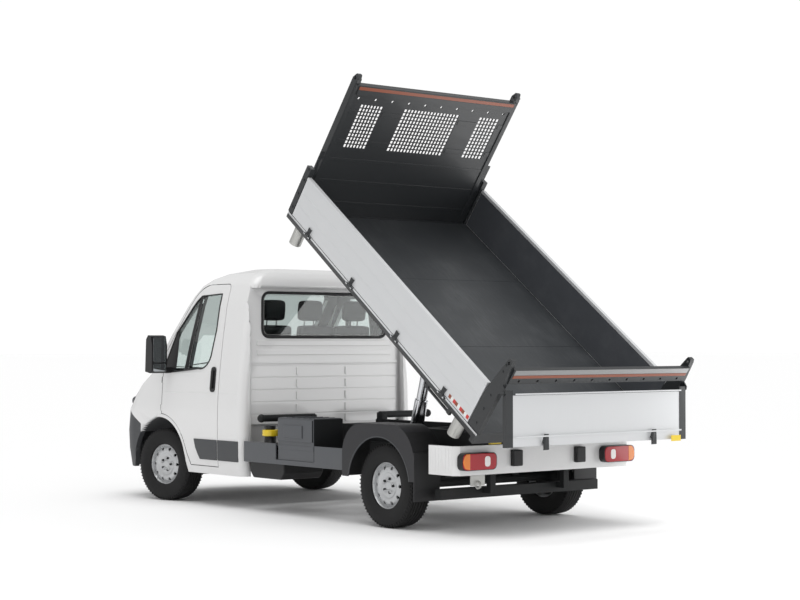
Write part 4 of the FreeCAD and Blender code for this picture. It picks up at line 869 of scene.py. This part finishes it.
class TIPPER_OT_door_fittings(bpy.types.Operator):
    """Handles, creases and the low mouldings of the doors and the cab's rear corners"""
    bl_idname = "tipper.door_fittings"
    bl_label = "Door fittings"

    def execute(self, context):
        creases = ([(.060, 1.048), (.500, 1.060), (.990, 1.064)], [(1.020, 1.064), (1.340, 1.058)])
        guards = ([(.712, .432), (.999, .432), (.999, .622), (.612, .622), (.640, .540)],
                  rectangle(1.014, .432, 1.338, .622))
        for name, side in SIDES.items():
            door = "door_" + name
            out = Vector((side, 0, 0))
            recess = rounded(rectangle(.868 + AXLE_Y, 1.066, .952 + AXLE_Y, 1.302), 0.040, 6)
            dish = patch("handle_dish_" + name, recess, "x", side * OUTSIDE, door, 0.006, -0.002, 16, 0.003)
            low, high = [beside(door, side, .910, z) for z in (1.098, 1.270)]
            grip = bar("handle_grip_" + name, low + out * .016, high + out * .016, 0.0125, 20, 0.006)
            stems = [bar("handle_stem", end - out * .0032, end + out * .016, 0.011, 16)
                     for end in (low.lerp(high, 0.08), low.lerp(high, 0.92))]
            lock = cap("handle_lock", beside(door, side, .910, 1.078) + out * .003, out, 0.008, 0.006, 20)
            dress(join("door_handle_" + name, dish, grip, *stems, lock), "black", door)
            panels = (("door_", door, door), ("cab_", "cab_shell", "truck"))
            for (start, node, body), ends in zip(panels, creases):
                line = [beside(node, side, y, z) - out * .0035 for y, z in spaced(ends, 0.05, False)]
                dress(bead(start + "crease_" + name, line, 0.0055, False, 4), "paint", body)
            for (start, node, body), guard in zip(panels, guards):
                strip = side_patch(start + "moulding_" + name, guard, 0.05, side, node, 0.009, 0.0, 8, 0.004)
                dress(strip, "moulding", body)
        return {"FINISHED"}


class TIPPER_OT_mirrors(bpy.types.Operator):
    """Glasses and side lamps of the mirrors"""
    bl_idname = "tipper.mirrors"
    bl_label = "Mirrors"

    def execute(self, context):
        for name, side in SIDES.items():
            door = "door_" + name
            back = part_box("mirror_" + name)[1].y
            for label, low, high, corner in (("main", 1.340, 1.580, 0.022), ("wide", 1.252, 1.326, 0.018)):
                outline = rounded(rectangle(side * 1.090, low, side * 1.230, high), corner, 5)
                glass = plate("mirror_glass_%s_%s" % (label, name), outline, "y", back - 0.001,
                              back + 0.002, 0.001)
                dress(glass, "mirror", door)
            lamp = side_block("mirror_lamp_" + name, side, 1.2352, 1.2448, (back - .100, 1.330),
                              (back - .040, 1.372), 0.003)
            dress(lamp, "orange", door)
        return {"FINISHED"}


class TIPPER_OT_rear_panel(bpy.types.Operator):
    """Pressed ribs and fields of the cab's back"""
    bl_idname = "tipper.rear_panel"
    bl_label = "Cab back"

    def execute(self, context):
        face = 1.325 + AXLE_Y
        pieces = [block("rib", (-.80, face - .004, low), (.80, face + .0075, high), 0.007, 4)
                  for low, high in ((1.500, 1.552), (1.414, 1.462))]
        for low, high in ((.772, .858), (.868, .972), (.982, 1.085), (1.095, 1.199), (1.209, 1.318)):
            pieces.append(block("field", (-.872, face - .004, low), (.872, face + .0042, high), 0.0035, 3))
            foot, head = (low + high) / 2 - .036, (low + high) / 2 + .036
            pieces += [block("tick", (x - .011, face, foot), (x + .011, face + .0140, head), 0.004, 3)
                       for x in (-.240, .340)]
        pieces.append(block("ledge", (-.880, face - .004, 1.330), (.880, face + .010, 1.358), 0.008, 4))
        dress(join("cab_back_pressing", *pieces), "paint")
        return {"FINISHED"}


class TIPPER_OT_interior(bpy.types.Operator):
    """Bench bases, cushions, head rests on posts and the dashboard's fittings"""
    bl_idname = "tipper.interior"
    bl_label = "Cab interior"

    def execute(self, context):
        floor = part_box("seats")[0].z
        lean = math.radians(6.3)
        bases = [block("bench_base", at(left, .640, floor), at(right, 1.050, .775), 0.012, 3)
                 for left, right in ((.305, .685), (-.650, .150))]
        posts = []
        for name, centre, half, head in (("driver", .495, .230, .495), ("middle", -.030, .216, .055),
                                         ("outer", -.470, .216, -.480)):
            left, right = centre - half, centre + half
            pads = [cushion("cushion_" + name, at(left, .560, .765), at(right, 1.055, .925), 0.055),
                    cushion("backrest_" + name, at(left, .985, .850), at(right, 1.085, 1.700), 0.040, lean),
                    cushion("head_rest_" + name, at(head - .135, 1.085, 1.735), at(head + .135, 1.190, 1.935),
                            0.042, lean)]
            for pad in pads:
                dress(pad, "cloth")
            posts += [bar("post", at(x, 1.120, 1.640), at(x, 1.140, 1.775), 0.007, 16)
                      for x in (head - .055, head + .055)]
        base = dress(join("bench_bases", *bases), "trim")
        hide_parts("seats")
        dress(join("head_rest_posts", *posts), "steel")
        parts = [block("cluster", at(.36, .255, 1.085), at(.64, .30, 1.165), 0.01),
                 block("screen", at(-.11, .280, .960), at(.11, .306, 1.075), 0.004),
                 *[block("vent", at(x, .285, 1.000), at(x + .13, .306, 1.070), 0.004) for x in (-.28, .15)],
                 bar("shifter", at(.02, .330, .880), at(.02, .345, .985), 0.009, 16),
                 cap("shifter_knob", at(.02, .345, .975), (0, .1, 1), 0.022, 0.045)]
        dress(join("dashboard_fittings", *parts), "black")
        return {"FINISHED"}


class TIPPER_OT_nose(bpy.types.Operator):
    """Lamp bowls, fog lamps, intake frame, backing blocks, blank plate, cowl and bonnet folds"""
    bl_idname = "tipper.nose"
    bl_label = "Nose"

    def execute(self, context):
        for name, side in SIDES.items():
            bowls = [cap("bowl", ahead("headlamps", side * x, z) + Vector((0, .010, 0)), (0, 1, 0), radius,
                         0.004, 40, 0.001)
                     for x, z, radius in ((.700, .955, .040), (.800, .950, .050), (.905, .945, .045))]
            dress(join("lamp_bowls_" + name, *bowls), "chrome")
            out = Vector((side * .45, -1, 0)).normalized()
            spot = ahead("front_bumper", side * .780, .470) - out * .012
            dress(cap("fog_lamp_" + name, spot, out, .048, .016, 40, .004), "lens")
            dress(ring("fog_rim_" + name, spot, out, .048, .064, .018, 40, .004), "black")
            fold = [ahead("bonnet", side * x, z) + Vector((0, .0045, 0))
                    for x, z in spaced([(.400, 1.012), (.500, 1.110), (.560, 1.200)], 0.03, False)]
            dress(bead("bonnet_fold_" + name, fold, 0.007, False, 4), "paint", "bonnet")
        far = -3.2
        blank = rounded(rectangle(-.260, .712, .260, .818), 0.008, 3)
        blank = patch("plate_blank", spaced(blank, 0.06), "y", far, "front_bumper", 0.006, 0.0, 2, 0.002, 10)
        dress(blank, "pale")
        line = rounded([(-.462, .382), (.462, .382), (.448, .556), (-.448, .556)], 0.03, 5)
        line = [ahead("front_bumper", x, z) + Vector((0, .003, 0)) for x, z in spaced(line, 0.05)]
        dress(bead("intake_frame", line, 0.007, True), "black")
        backs = [block("radiator", at(-.450, -.800, .385), at(.450, -.786, .560)),
                 block("radiator", at(-.560, -.790, .880), at(.560, -.776, .985))]
        dress(join("radiator", *backs), "chassis")
        cowl = [(-.800, 1.222), (.800, 1.222), (.785, 1.258), (-.785, 1.258)]
        cowl = patch("cowl", spaced(cowl, 0.08), "y", far, "cab_shell", 0.004, 0.0, 2, 0.001, 20)
        dress(cowl, "black")
        return {"FINISHED"}


class TIPPER_OT_headboard(bpy.types.Operator):
    """Cross bars of the headboard's grids, its stripe, pressed bands and bolts"""
    bl_idname = "tipper.headboard"
    bl_label = "Headboard"

    def execute(self, context):
        pitch = .0362
        bars = []
        for low, high in ((-.830, -.590), (-.340, .300), (.545, .790)):
            first = block("grid_bar", (low - .004, -2.932, .7385), (high + .004, -2.924, .7475), 0.001, 1)
            bars += in_steps(first, [(0, 0, pitch * k) for k in range(1, 11)])
        bed_trim("grid_bars", "frame", *bars)
        bands = [block("band", (low, -2.9235, height), (high, -2.9185, height + .046), 0.0045, 3)
                 for low, high in ((-.900, -.845), (-.575, -.355), (.315, .530), (.805, .900))
                 for height in (.742, 1.040)]
        bands += [block("band", (-.985, -2.9235, height), (.985, -2.9190, height + .026), 0.004, 3)
                  for height in (.130, .352, .574)]
        foot = block("foot", (-.985, -2.9240, -.020), (.985, -2.9000, .004), 0.002)
        bed_trim("headboard_bands", "frame", *bands, foot)
        for name, key, low, high, edge in (("rail_face", "frame", 1.240, 1.286, 0.0012),
                                           ("stripe", "stripe", 1.2885, 1.3195, 0.0008)):
            strip = block(name, (-.903, -2.9035, low), (.903, -2.9005, high), edge)
            bed_trim("headboard_" + name, key, strip)
        bolts = []
        for side in SIDES.values():
            bolts += [cap("bolt", (side * 1.0395, -2.937, height), (side, 0, 0), .011, .007, 6, .001)
                      for height in (.060, .200, .340, .450)]
            bolts += [cap("bolt", (side * .9275, -2.9025, height), (0, 1, 0), .009, .006, 6, .001)
                      for height in (1.330, 1.385)]
        bed_trim("headboard_bolts", "frame", *bolts)
        return {"FINISHED"}


class TIPPER_OT_rear_rack(bpy.types.Operator):
    """Stripe and bolts of the rack over the tailgate"""
    bl_idname = "tipper.rear_rack"
    bl_label = "Rear rack"

    def execute(self, context):
        for name, key, low, high, edge in (("rail_face", "steel", .577, .624, 0.0012),
                                           ("stripe", "stripe", .548, .5745, 0.0008)):
            bed_trim("rack_" + name, key, block(name, (-.985, .1475, low), (.985, .1505, high), edge))
        bolts = []
        for side in SIDES.values():
            bolts += [cap("bolt", (side * 1.0365, .075, height), (side, 0, 0), .010, .006, 6, .001)
                      for height in (.060, .200, .330, .560, .620)]
            bolts.append(cap("pin", (side * 1.036, .175, .435), (side, 0, 0), .016, .006, 24, .001))
        bed_trim("rack_bolts", "frame", *bolts)
        return {"FINISHED"}


class TIPPER_OT_drop_sides(bpy.types.Operator):
    """Dark inner plates of painted shade, profile lines, hinge tabs and the marker stripe of the drop sides
    """
    bl_idname = "tipper.drop_sides"
    bl_label = "Drop sides"

    def execute(self, context):
        for name, side in SIDES.items():
            body = "side_" + name
            part_paint(skin_of(body), "frame", lambda face: abs(face.center.x) > 1.0435)
            # a dark plate on each drop side's inner face: painted shade inside the bed, with scuff marks of
            # wear
            lining = side_block("lining", side, 1.0085, 1.0125, (-2.890, .006), (-.010, .362), 0.001)
            bed_trim("side_lining_" + name, "lining", lining, body=body)
            lines = [side_block("line", side, 1.0395, 1.0415, (-2.892, low), (-.008, low + .005), 0.0008)
                     for low in (.118, .240)]
            bed_trim("side_profile_" + name, "board", *lines, body=body)
            tabs = []
            for y in (-.365, -1.100, -1.845, -2.590):
                tabs.append(side_block("tab", side, 1.0475, 1.05, (y - .023, 0), (y + .023, .058), 0.001))
                tabs += [cap("rivet", (side * 1.0495, y, height), (side, 0, 0), .006, .0035, 12, .001)
                         for height in (.020, .044)]
            bed_trim("side_tabs_" + name, "frame", *tabs, body=body)
        colours, pitch = ("stripe_red", "pale", "stripe"), .032
        for k in range(9):
            field = block("field", (1.0396, -.012 - pitch * (k + 1), .018), (1.0409, -.012 - pitch * k, .050),
                          0.0003, 1)
            bed_trim("marker_%d" % k, colours[k % 3], field, body="side_left")
        return {"FINISHED"}


class TIPPER_OT_tailgate(bpy.types.Operator):
    """Dark ends, two ribs and the blank label of the tailgate"""
    bl_idname = "tipper.tailgate"
    bl_label = "Tailgate"

    def execute(self, context):
        part_paint(skin_of("tailgate"), "frame", lambda face: abs(face.center.x) > .9495
                   or (.585 < abs(face.center.x) < .645 and face.center.z < .80))
        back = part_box("tailgate")[1].y
        ribs = [block("rib", (-.945, back - .004, low), (.945, back - .0005, low + .012), 0.0015)
                for low in (.800, 1.128)]
        dress(join("tailgate_ribs", *ribs), "board", "tailgate")
        label = block("tailgate_label", (-.935, back - .004, .716), (-.820, back - .0005, .764), 0.0006)
        dress(label, "yellow", "tailgate")
        return {"FINISHED"}


class TIPPER_OT_bed_floor(bpy.types.Operator):
    """The light edge rails of the floor, its seams and the arm under the left edge"""
    bl_idname = "tipper.bed_floor"
    bl_label = "Bed floor"

    def execute(self, context):
        deck = skin_of("bed_floor")
        up = BED.to_3x3() @ Vector(UP)
        rail_foot = BED @ Vector((0, 0, -.022))
        take(deck)
        open_mesh()
        bpy.ops.mesh.bisect(plane_co=rail_foot, plane_no=up)
        bpy.ops.object.mode_set(mode="OBJECT")
        level = up.dot(rail_foot)
        part_paint(deck, "frame", lambda face: face.normal.dot(up) < .5)
        part_paint(deck, "board", lambda face: abs(face.center.x) > 1.0395 and abs(face.normal.x) > .9
                   and up.dot(face.center) > level)
        seams = [block("seam", (-1.000, y - .006, -.002), (1.000, y + .006, .0018), 0.0008)
                 for y in (-.980, -1.960)]
        bed_trim("floor_seams", "floor", *seams)
        arm = bar("side_arm", (1.020, -.567, -.092), (1.020, -.238, -.092), 0.012, 20)
        ends = [block("arm_end", (1.004, y - .02, -.106), (1.030, y + .02, -.058), 0.003)
                for y in (-.567, -.238)]
        bed_trim("side_arm", "frame", arm, *ends)
        return {"FINISHED"}


class TIPPER_OT_rear_lamps(bpy.types.Operator):
    """Lenses of the tail lamps, the beam's ribbed returns, its tag and the towing eye"""
    bl_idname = "tipper.rear_lamps"
    bl_label = "Rear beam"

    def execute(self, context):
        back = 4.392 + AXLE_Y
        for name, side in SIDES.items():
            main = rounded(rectangle(side * .621, .522, side * .980, .652), 0.050, 7)
            bow = [(.905, .5225), *arc((.945, .5225), (.9795, .587), (.945, .6515), 10), (.905, .6515)]
            turn = [(side * x, z) for x, z in bow]
            reverse = rounded(rectangle(side * .690, .545, side * .750, .629), 0.028, 6)
            for label, outline, depth, height, edge, key, slot in (
                    ("main", main, .012, .005, 0.006, "red", "lamp_red"),
                    ("turn", turn, .010, .0062, 0.005, "orange", "lamp_red"),
                    ("reverse", reverse, 0, .0064, 0.003, "white_lens", "lamp_clear")):
                lens = plate("lamp_%s_%s" % (label, name), outline, "y", back - depth, back + height, edge, 3)
                dress(lens, key)
            ribs = [side_block("rib", side, .9985, 1.0035, (4.030 + .040 * k + AXLE_Y, .500),
                               (4.046 + .040 * k + AXLE_Y, .690), 0.002) for k in range(7)]
            dress(join("return_ribs_" + name, *ribs), "paint")
        dress(block("beam_tag", at(.500, 4.292, .711), at(.620, 4.322, .740), 0.004), "yellow")
        eye = [block("tow", at(.640, 4.262, .385), at(.790, 4.276, .480), 0.003),
               block("tow", at(.640, 4.180, .465), at(.790, 4.276, .480), 0.003),
               ring("tow_ring", at(.715, 4.285, .392), (1, 0, 0), .020, .034, .014)]
        dress(join("towing_eye", *eye), "zinc")
        return {"FINISHED"}


class TIPPER_OT_wheels(bpy.types.Operator):
    """Grooved tyres, hub caps, bolt heads and brake discs"""
    bl_idname = "tipper.wheels"
    bl_label = "Wheels"

    def execute(self, context):
        depth = context.scene.tipper_sizes.tread_depth
        for corner in CORNERS:
            joint = JOINTS["spin_" + corner]
            hub = Vector(joint["pos_m"])
            side = SIDES[corner.split("_")[1]]
            axis = Vector(joint["axis"]).normalized()
            if axis.x * side < 0:
                axis = -axis
            turn = axis.to_track_quat("Z", "Y").to_matrix().to_4x4()
            tyre = self.tyre(depth)
            for piece, key in ((tyre, "tyre"), *self.caps()):
                piece.matrix_world = Matrix.Translation(hub) @ turn
                settle(piece)
                piece.name = piece.name.split(".")[0] + "_" + corner
                dress(piece, key, "wheel_" + corner)
            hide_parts("tyre_" + corner)
            skin("rim_" + corner, smooth=28)
        return {"FINISHED"}

    def tyre(self, depth):
        """Half a section of the tyre with its grooves, mirrored and turned about the axle."""
        wide, tread, outer = .1125, .088, .3485
        section = [(.083, .192), (.098, .197), (.104, .212), (wide - .002, .246), (wide, .270), (.110, .300),
                   (.103, .322), (.100, .3225), (.0985, .330), (tread + .004, .341), (tread, .3448)]
        for centre, half in ((.070, .0035), (.046, .0045), (.0155, .0045)):
            rise = outer - .004 * (centre / tread) ** 2
            section += [(centre + half, rise), (centre + half * .6, rise - depth),
                        (centre - half * .6, rise - depth), (centre - half, rise)]
        section.append((0.0, outer))
        line = [(r, x) for x, r in section] + [(r, -x) for x, r in reversed(section[:-1])]
        piece = sheet("tyre", line, "y", 0, "NOTHING")
        open_mesh()
        bpy.ops.mesh.spin(steps=72, angle=math.tau, center=(0, 0, 0), axis=UP)
        bpy.ops.mesh.select_all(action="SELECT")
        bpy.ops.mesh.remove_doubles(threshold=WELD)
        close_mesh()
        even_shading(piece, math.radians(30))
        pair_of = [block("lug", (.318, -.0052, low), (.3425, .0052, low + .013), 0.002, 1)
                   for low in (.0905, -.1035)]
        return join("tyre", piece, *all_round(join("lugs", *pair_of), LUGS))

    def caps(self):
        """Hub cap, five bolt heads and the brake disc, about a wheel at the origin."""
        hub_cap = cap("hub_cap", (0, 0, .054), UP, .037, .012, 40, .003)
        bolt = cap("wheel_bolt", (.059, 0, .056), UP, .0125, .022, 6, .0015)
        bolts = join("wheel_bolts", *all_round(bolt, 5))
        disc = cap("brake_disc", (0, 0, -.035), UP, .142, .024, 56, .002)
        return [(hub_cap, "wheel"), (bolts, "chassis"), (disc, "chassis")]


class TIPPER_OT_chassis_fittings(bpy.types.Operator):
    """Lid, bands and catch of the pump box, mudguard lips, the oil cap and its collar"""
    bl_idname = "tipper.chassis_fittings"
    bl_label = "Chassis fittings"

    def execute(self, context):
        part_paint(skin_of("pump_box"), "chassis", lambda face: face.normal.y > .5)
        guard_end = 3.862 + AXLE_Y
        part_paint(skin_of("mudguards"), "rubber",
                   lambda face: face.center.y > guard_end or face.normal.y > .6)
        lid = [block("lid", at(.700, 1.965, .8615), at(1.000, 2.475, .8665), 0.002)]
        for k in range(1, 6):
            y = 1.965 + .085 * k
            lid.append(block("lid_rib", at(.712, y - .004, .866), at(.988, y + .004, .8705), 0.0015))
        lid += [block("band", at(1.0085, 1.962, low), at(1.0125, 2.478, high), 0.0015)
                for low, high in ((.585, .625), (.815, .835))]
        lid.append(block("latch", at(1.008, 2.190, .770), at(1.016, 2.250, .822), 0.002))
        dress(join("pump_box_trim", *lid), "skirt")
        radius = .404
        for name, side in SIDES.items():
            angles = [math.radians(degrees) for degrees in range(8, 173, 6)]
            line = [at(side * 1.047, 3.4155 + radius * math.cos(angle), .3485 + radius * math.sin(angle))
                    for angle in angles]
            dress(bead("mudguard_lip_" + name, line, 0.006), "moulding")
        dress(cap("oil_cap", at(.905, 1.690, .748), UP, .050, .030, 24, .006), "black")
        dress(ring("oil_collar", at(.905, 1.690, .684), UP, .030, .072, .058, 48, .008), "yellow")
        return {"FINISHED"}


def facing(place, aim):
    """The turn of a lamp that shines from a place at a point."""
    return (Vector(place) - Vector(aim)).to_track_quat("Z", "Y").to_euler()


class TIPPER_OT_stage(bpy.types.Operator):
    """Lays a plain pale floor, hangs the soft lights and sets the camera behind the left side"""
    bl_idname = "tipper.stage"
    bl_label = "Stage"

    def execute(self, context):
        deselect()
        bpy.ops.mesh.primitive_plane_add(size=400, location=(0, 0, -0.001))
        floor = settle(named("studio_floor"))
        floor.data.materials.append(finish("Pale floor", (0.93, 0.93, 0.93), 0.80))
        deselect()
        high = (0.10, 0.16, 1.0)
        bpy.ops.object.light_add(type="SUN", location=(0, 0, 8), rotation=facing(high, (0, 0, 0)))
        canopy = named("Overhead")
        canopy.data.energy = 1.54
        canopy.data.angle = math.radians(50)
        for name, place, aim, size, power in (("Left side", (9.0, 3.0, 4.5), (0, 0, 1.2), 6.0, 28),
                                              ("Behind", (3.5, 11.0, 4.0), (0, 1.0, 1.2), 6.0, 110),
                                              ("Cab back", (-3.1, 2.8, 1.25), (0, -0.8, 1.25), 3.0, 42)):
            deselect()
            bpy.ops.object.light_add(type="AREA", location=place, rotation=facing(place, aim))
            lamp = named(name)
            lamp.data.shape = "DISK"
            lamp.data.size = size
            lamp.data.energy = power
            lamp.visible_camera = False
        world = bpy.data.worlds.new("Studio")
        world.use_nodes = True
        tree = world.node_tree
        sky = tree.nodes["Background"]
        sky.inputs["Color"].default_value = WHITE
        seen = tree.nodes.new("ShaderNodeLightPath")
        level = tree.nodes.new("ShaderNodeMapRange")
        level.inputs["To Min"].default_value = 0.62
        level.inputs["To Max"].default_value = 1.02
        tree.links.new(seen.outputs["Is Camera Ray"], level.inputs["Value"])
        tree.links.new(level.outputs["Result"], sky.inputs["Strength"])
        context.scene.world = world
        context.scene.view_settings.view_transform = "Standard"
        deselect()
        yaw, pitch = math.radians(39.677), math.radians(1.365)
        aim = Vector((-math.sin(yaw) * math.cos(pitch), -math.cos(yaw) * math.cos(pitch), math.sin(pitch)))
        bpy.ops.object.camera_add(location=at(10.291, 14.843, 1.531),
                                  rotation=aim.to_track_quat("-Z", "Y").to_euler())
        camera = bpy.context.object
        camera.data.lens = 80.02
        camera.data.sensor_width = 36
        camera.data.clip_end = 500
        context.scene.camera = camera
        return {"FINISHED"}


CLASSES = [TipperColours, TipperSizes, TIPPER_OT_skins, TIPPER_OT_cab_seals, TIPPER_OT_wipers,
           TIPPER_OT_door_fittings, TIPPER_OT_mirrors, TIPPER_OT_rear_panel, TIPPER_OT_interior,
           TIPPER_OT_nose, TIPPER_OT_headboard, TIPPER_OT_rear_rack, TIPPER_OT_drop_sides,
           TIPPER_OT_tailgate, TIPPER_OT_bed_floor, TIPPER_OT_rear_lamps, TIPPER_OT_wheels,
           TIPPER_OT_chassis_fittings, TIPPER_OT_stage]


class TIPPER_PT_dressing(bpy.types.Panel):
    """Colours, sizes and steps of the dressing"""
    bl_idname = "TIPPER_PT_dressing"
    bl_label = "Tipper truck"
    bl_space_type = "VIEW_3D"
    bl_region_type = "UI"
    bl_category = "Tipper"

    def draw(self, context):
        column = self.layout.column()
        for group in (context.scene.tipper_colours, context.scene.tipper_sizes):
            for key in group.bl_rna.properties.keys():
                if key not in ("rna_type", "name"):
                    column.prop(group, key)
        for step in STEPS:
            column.operator(step.bl_idname)


STEPS = [kind for kind in CLASSES if issubclass(kind, bpy.types.Operator)]


def register():
    for kind in [*CLASSES, TIPPER_PT_dressing]:
        bpy.utils.register_class(kind)
    bpy.types.Scene.tipper_colours = bpy.props.PointerProperty(type=TipperColours)
    bpy.types.Scene.tipper_sizes = bpy.props.PointerProperty(type=TipperSizes)


def unregister():
    del bpy.types.Scene.tipper_sizes
    del bpy.types.Scene.tipper_colours
    for kind in reversed([*CLASSES, TIPPER_PT_dressing]):
        bpy.utils.unregister_class(kind)


def main():
    register()
    for step in STEPS:
        getattr(bpy.ops.tipper, step.bl_idname.split(".")[1])()
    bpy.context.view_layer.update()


if __name__ == "__main__":
    main()
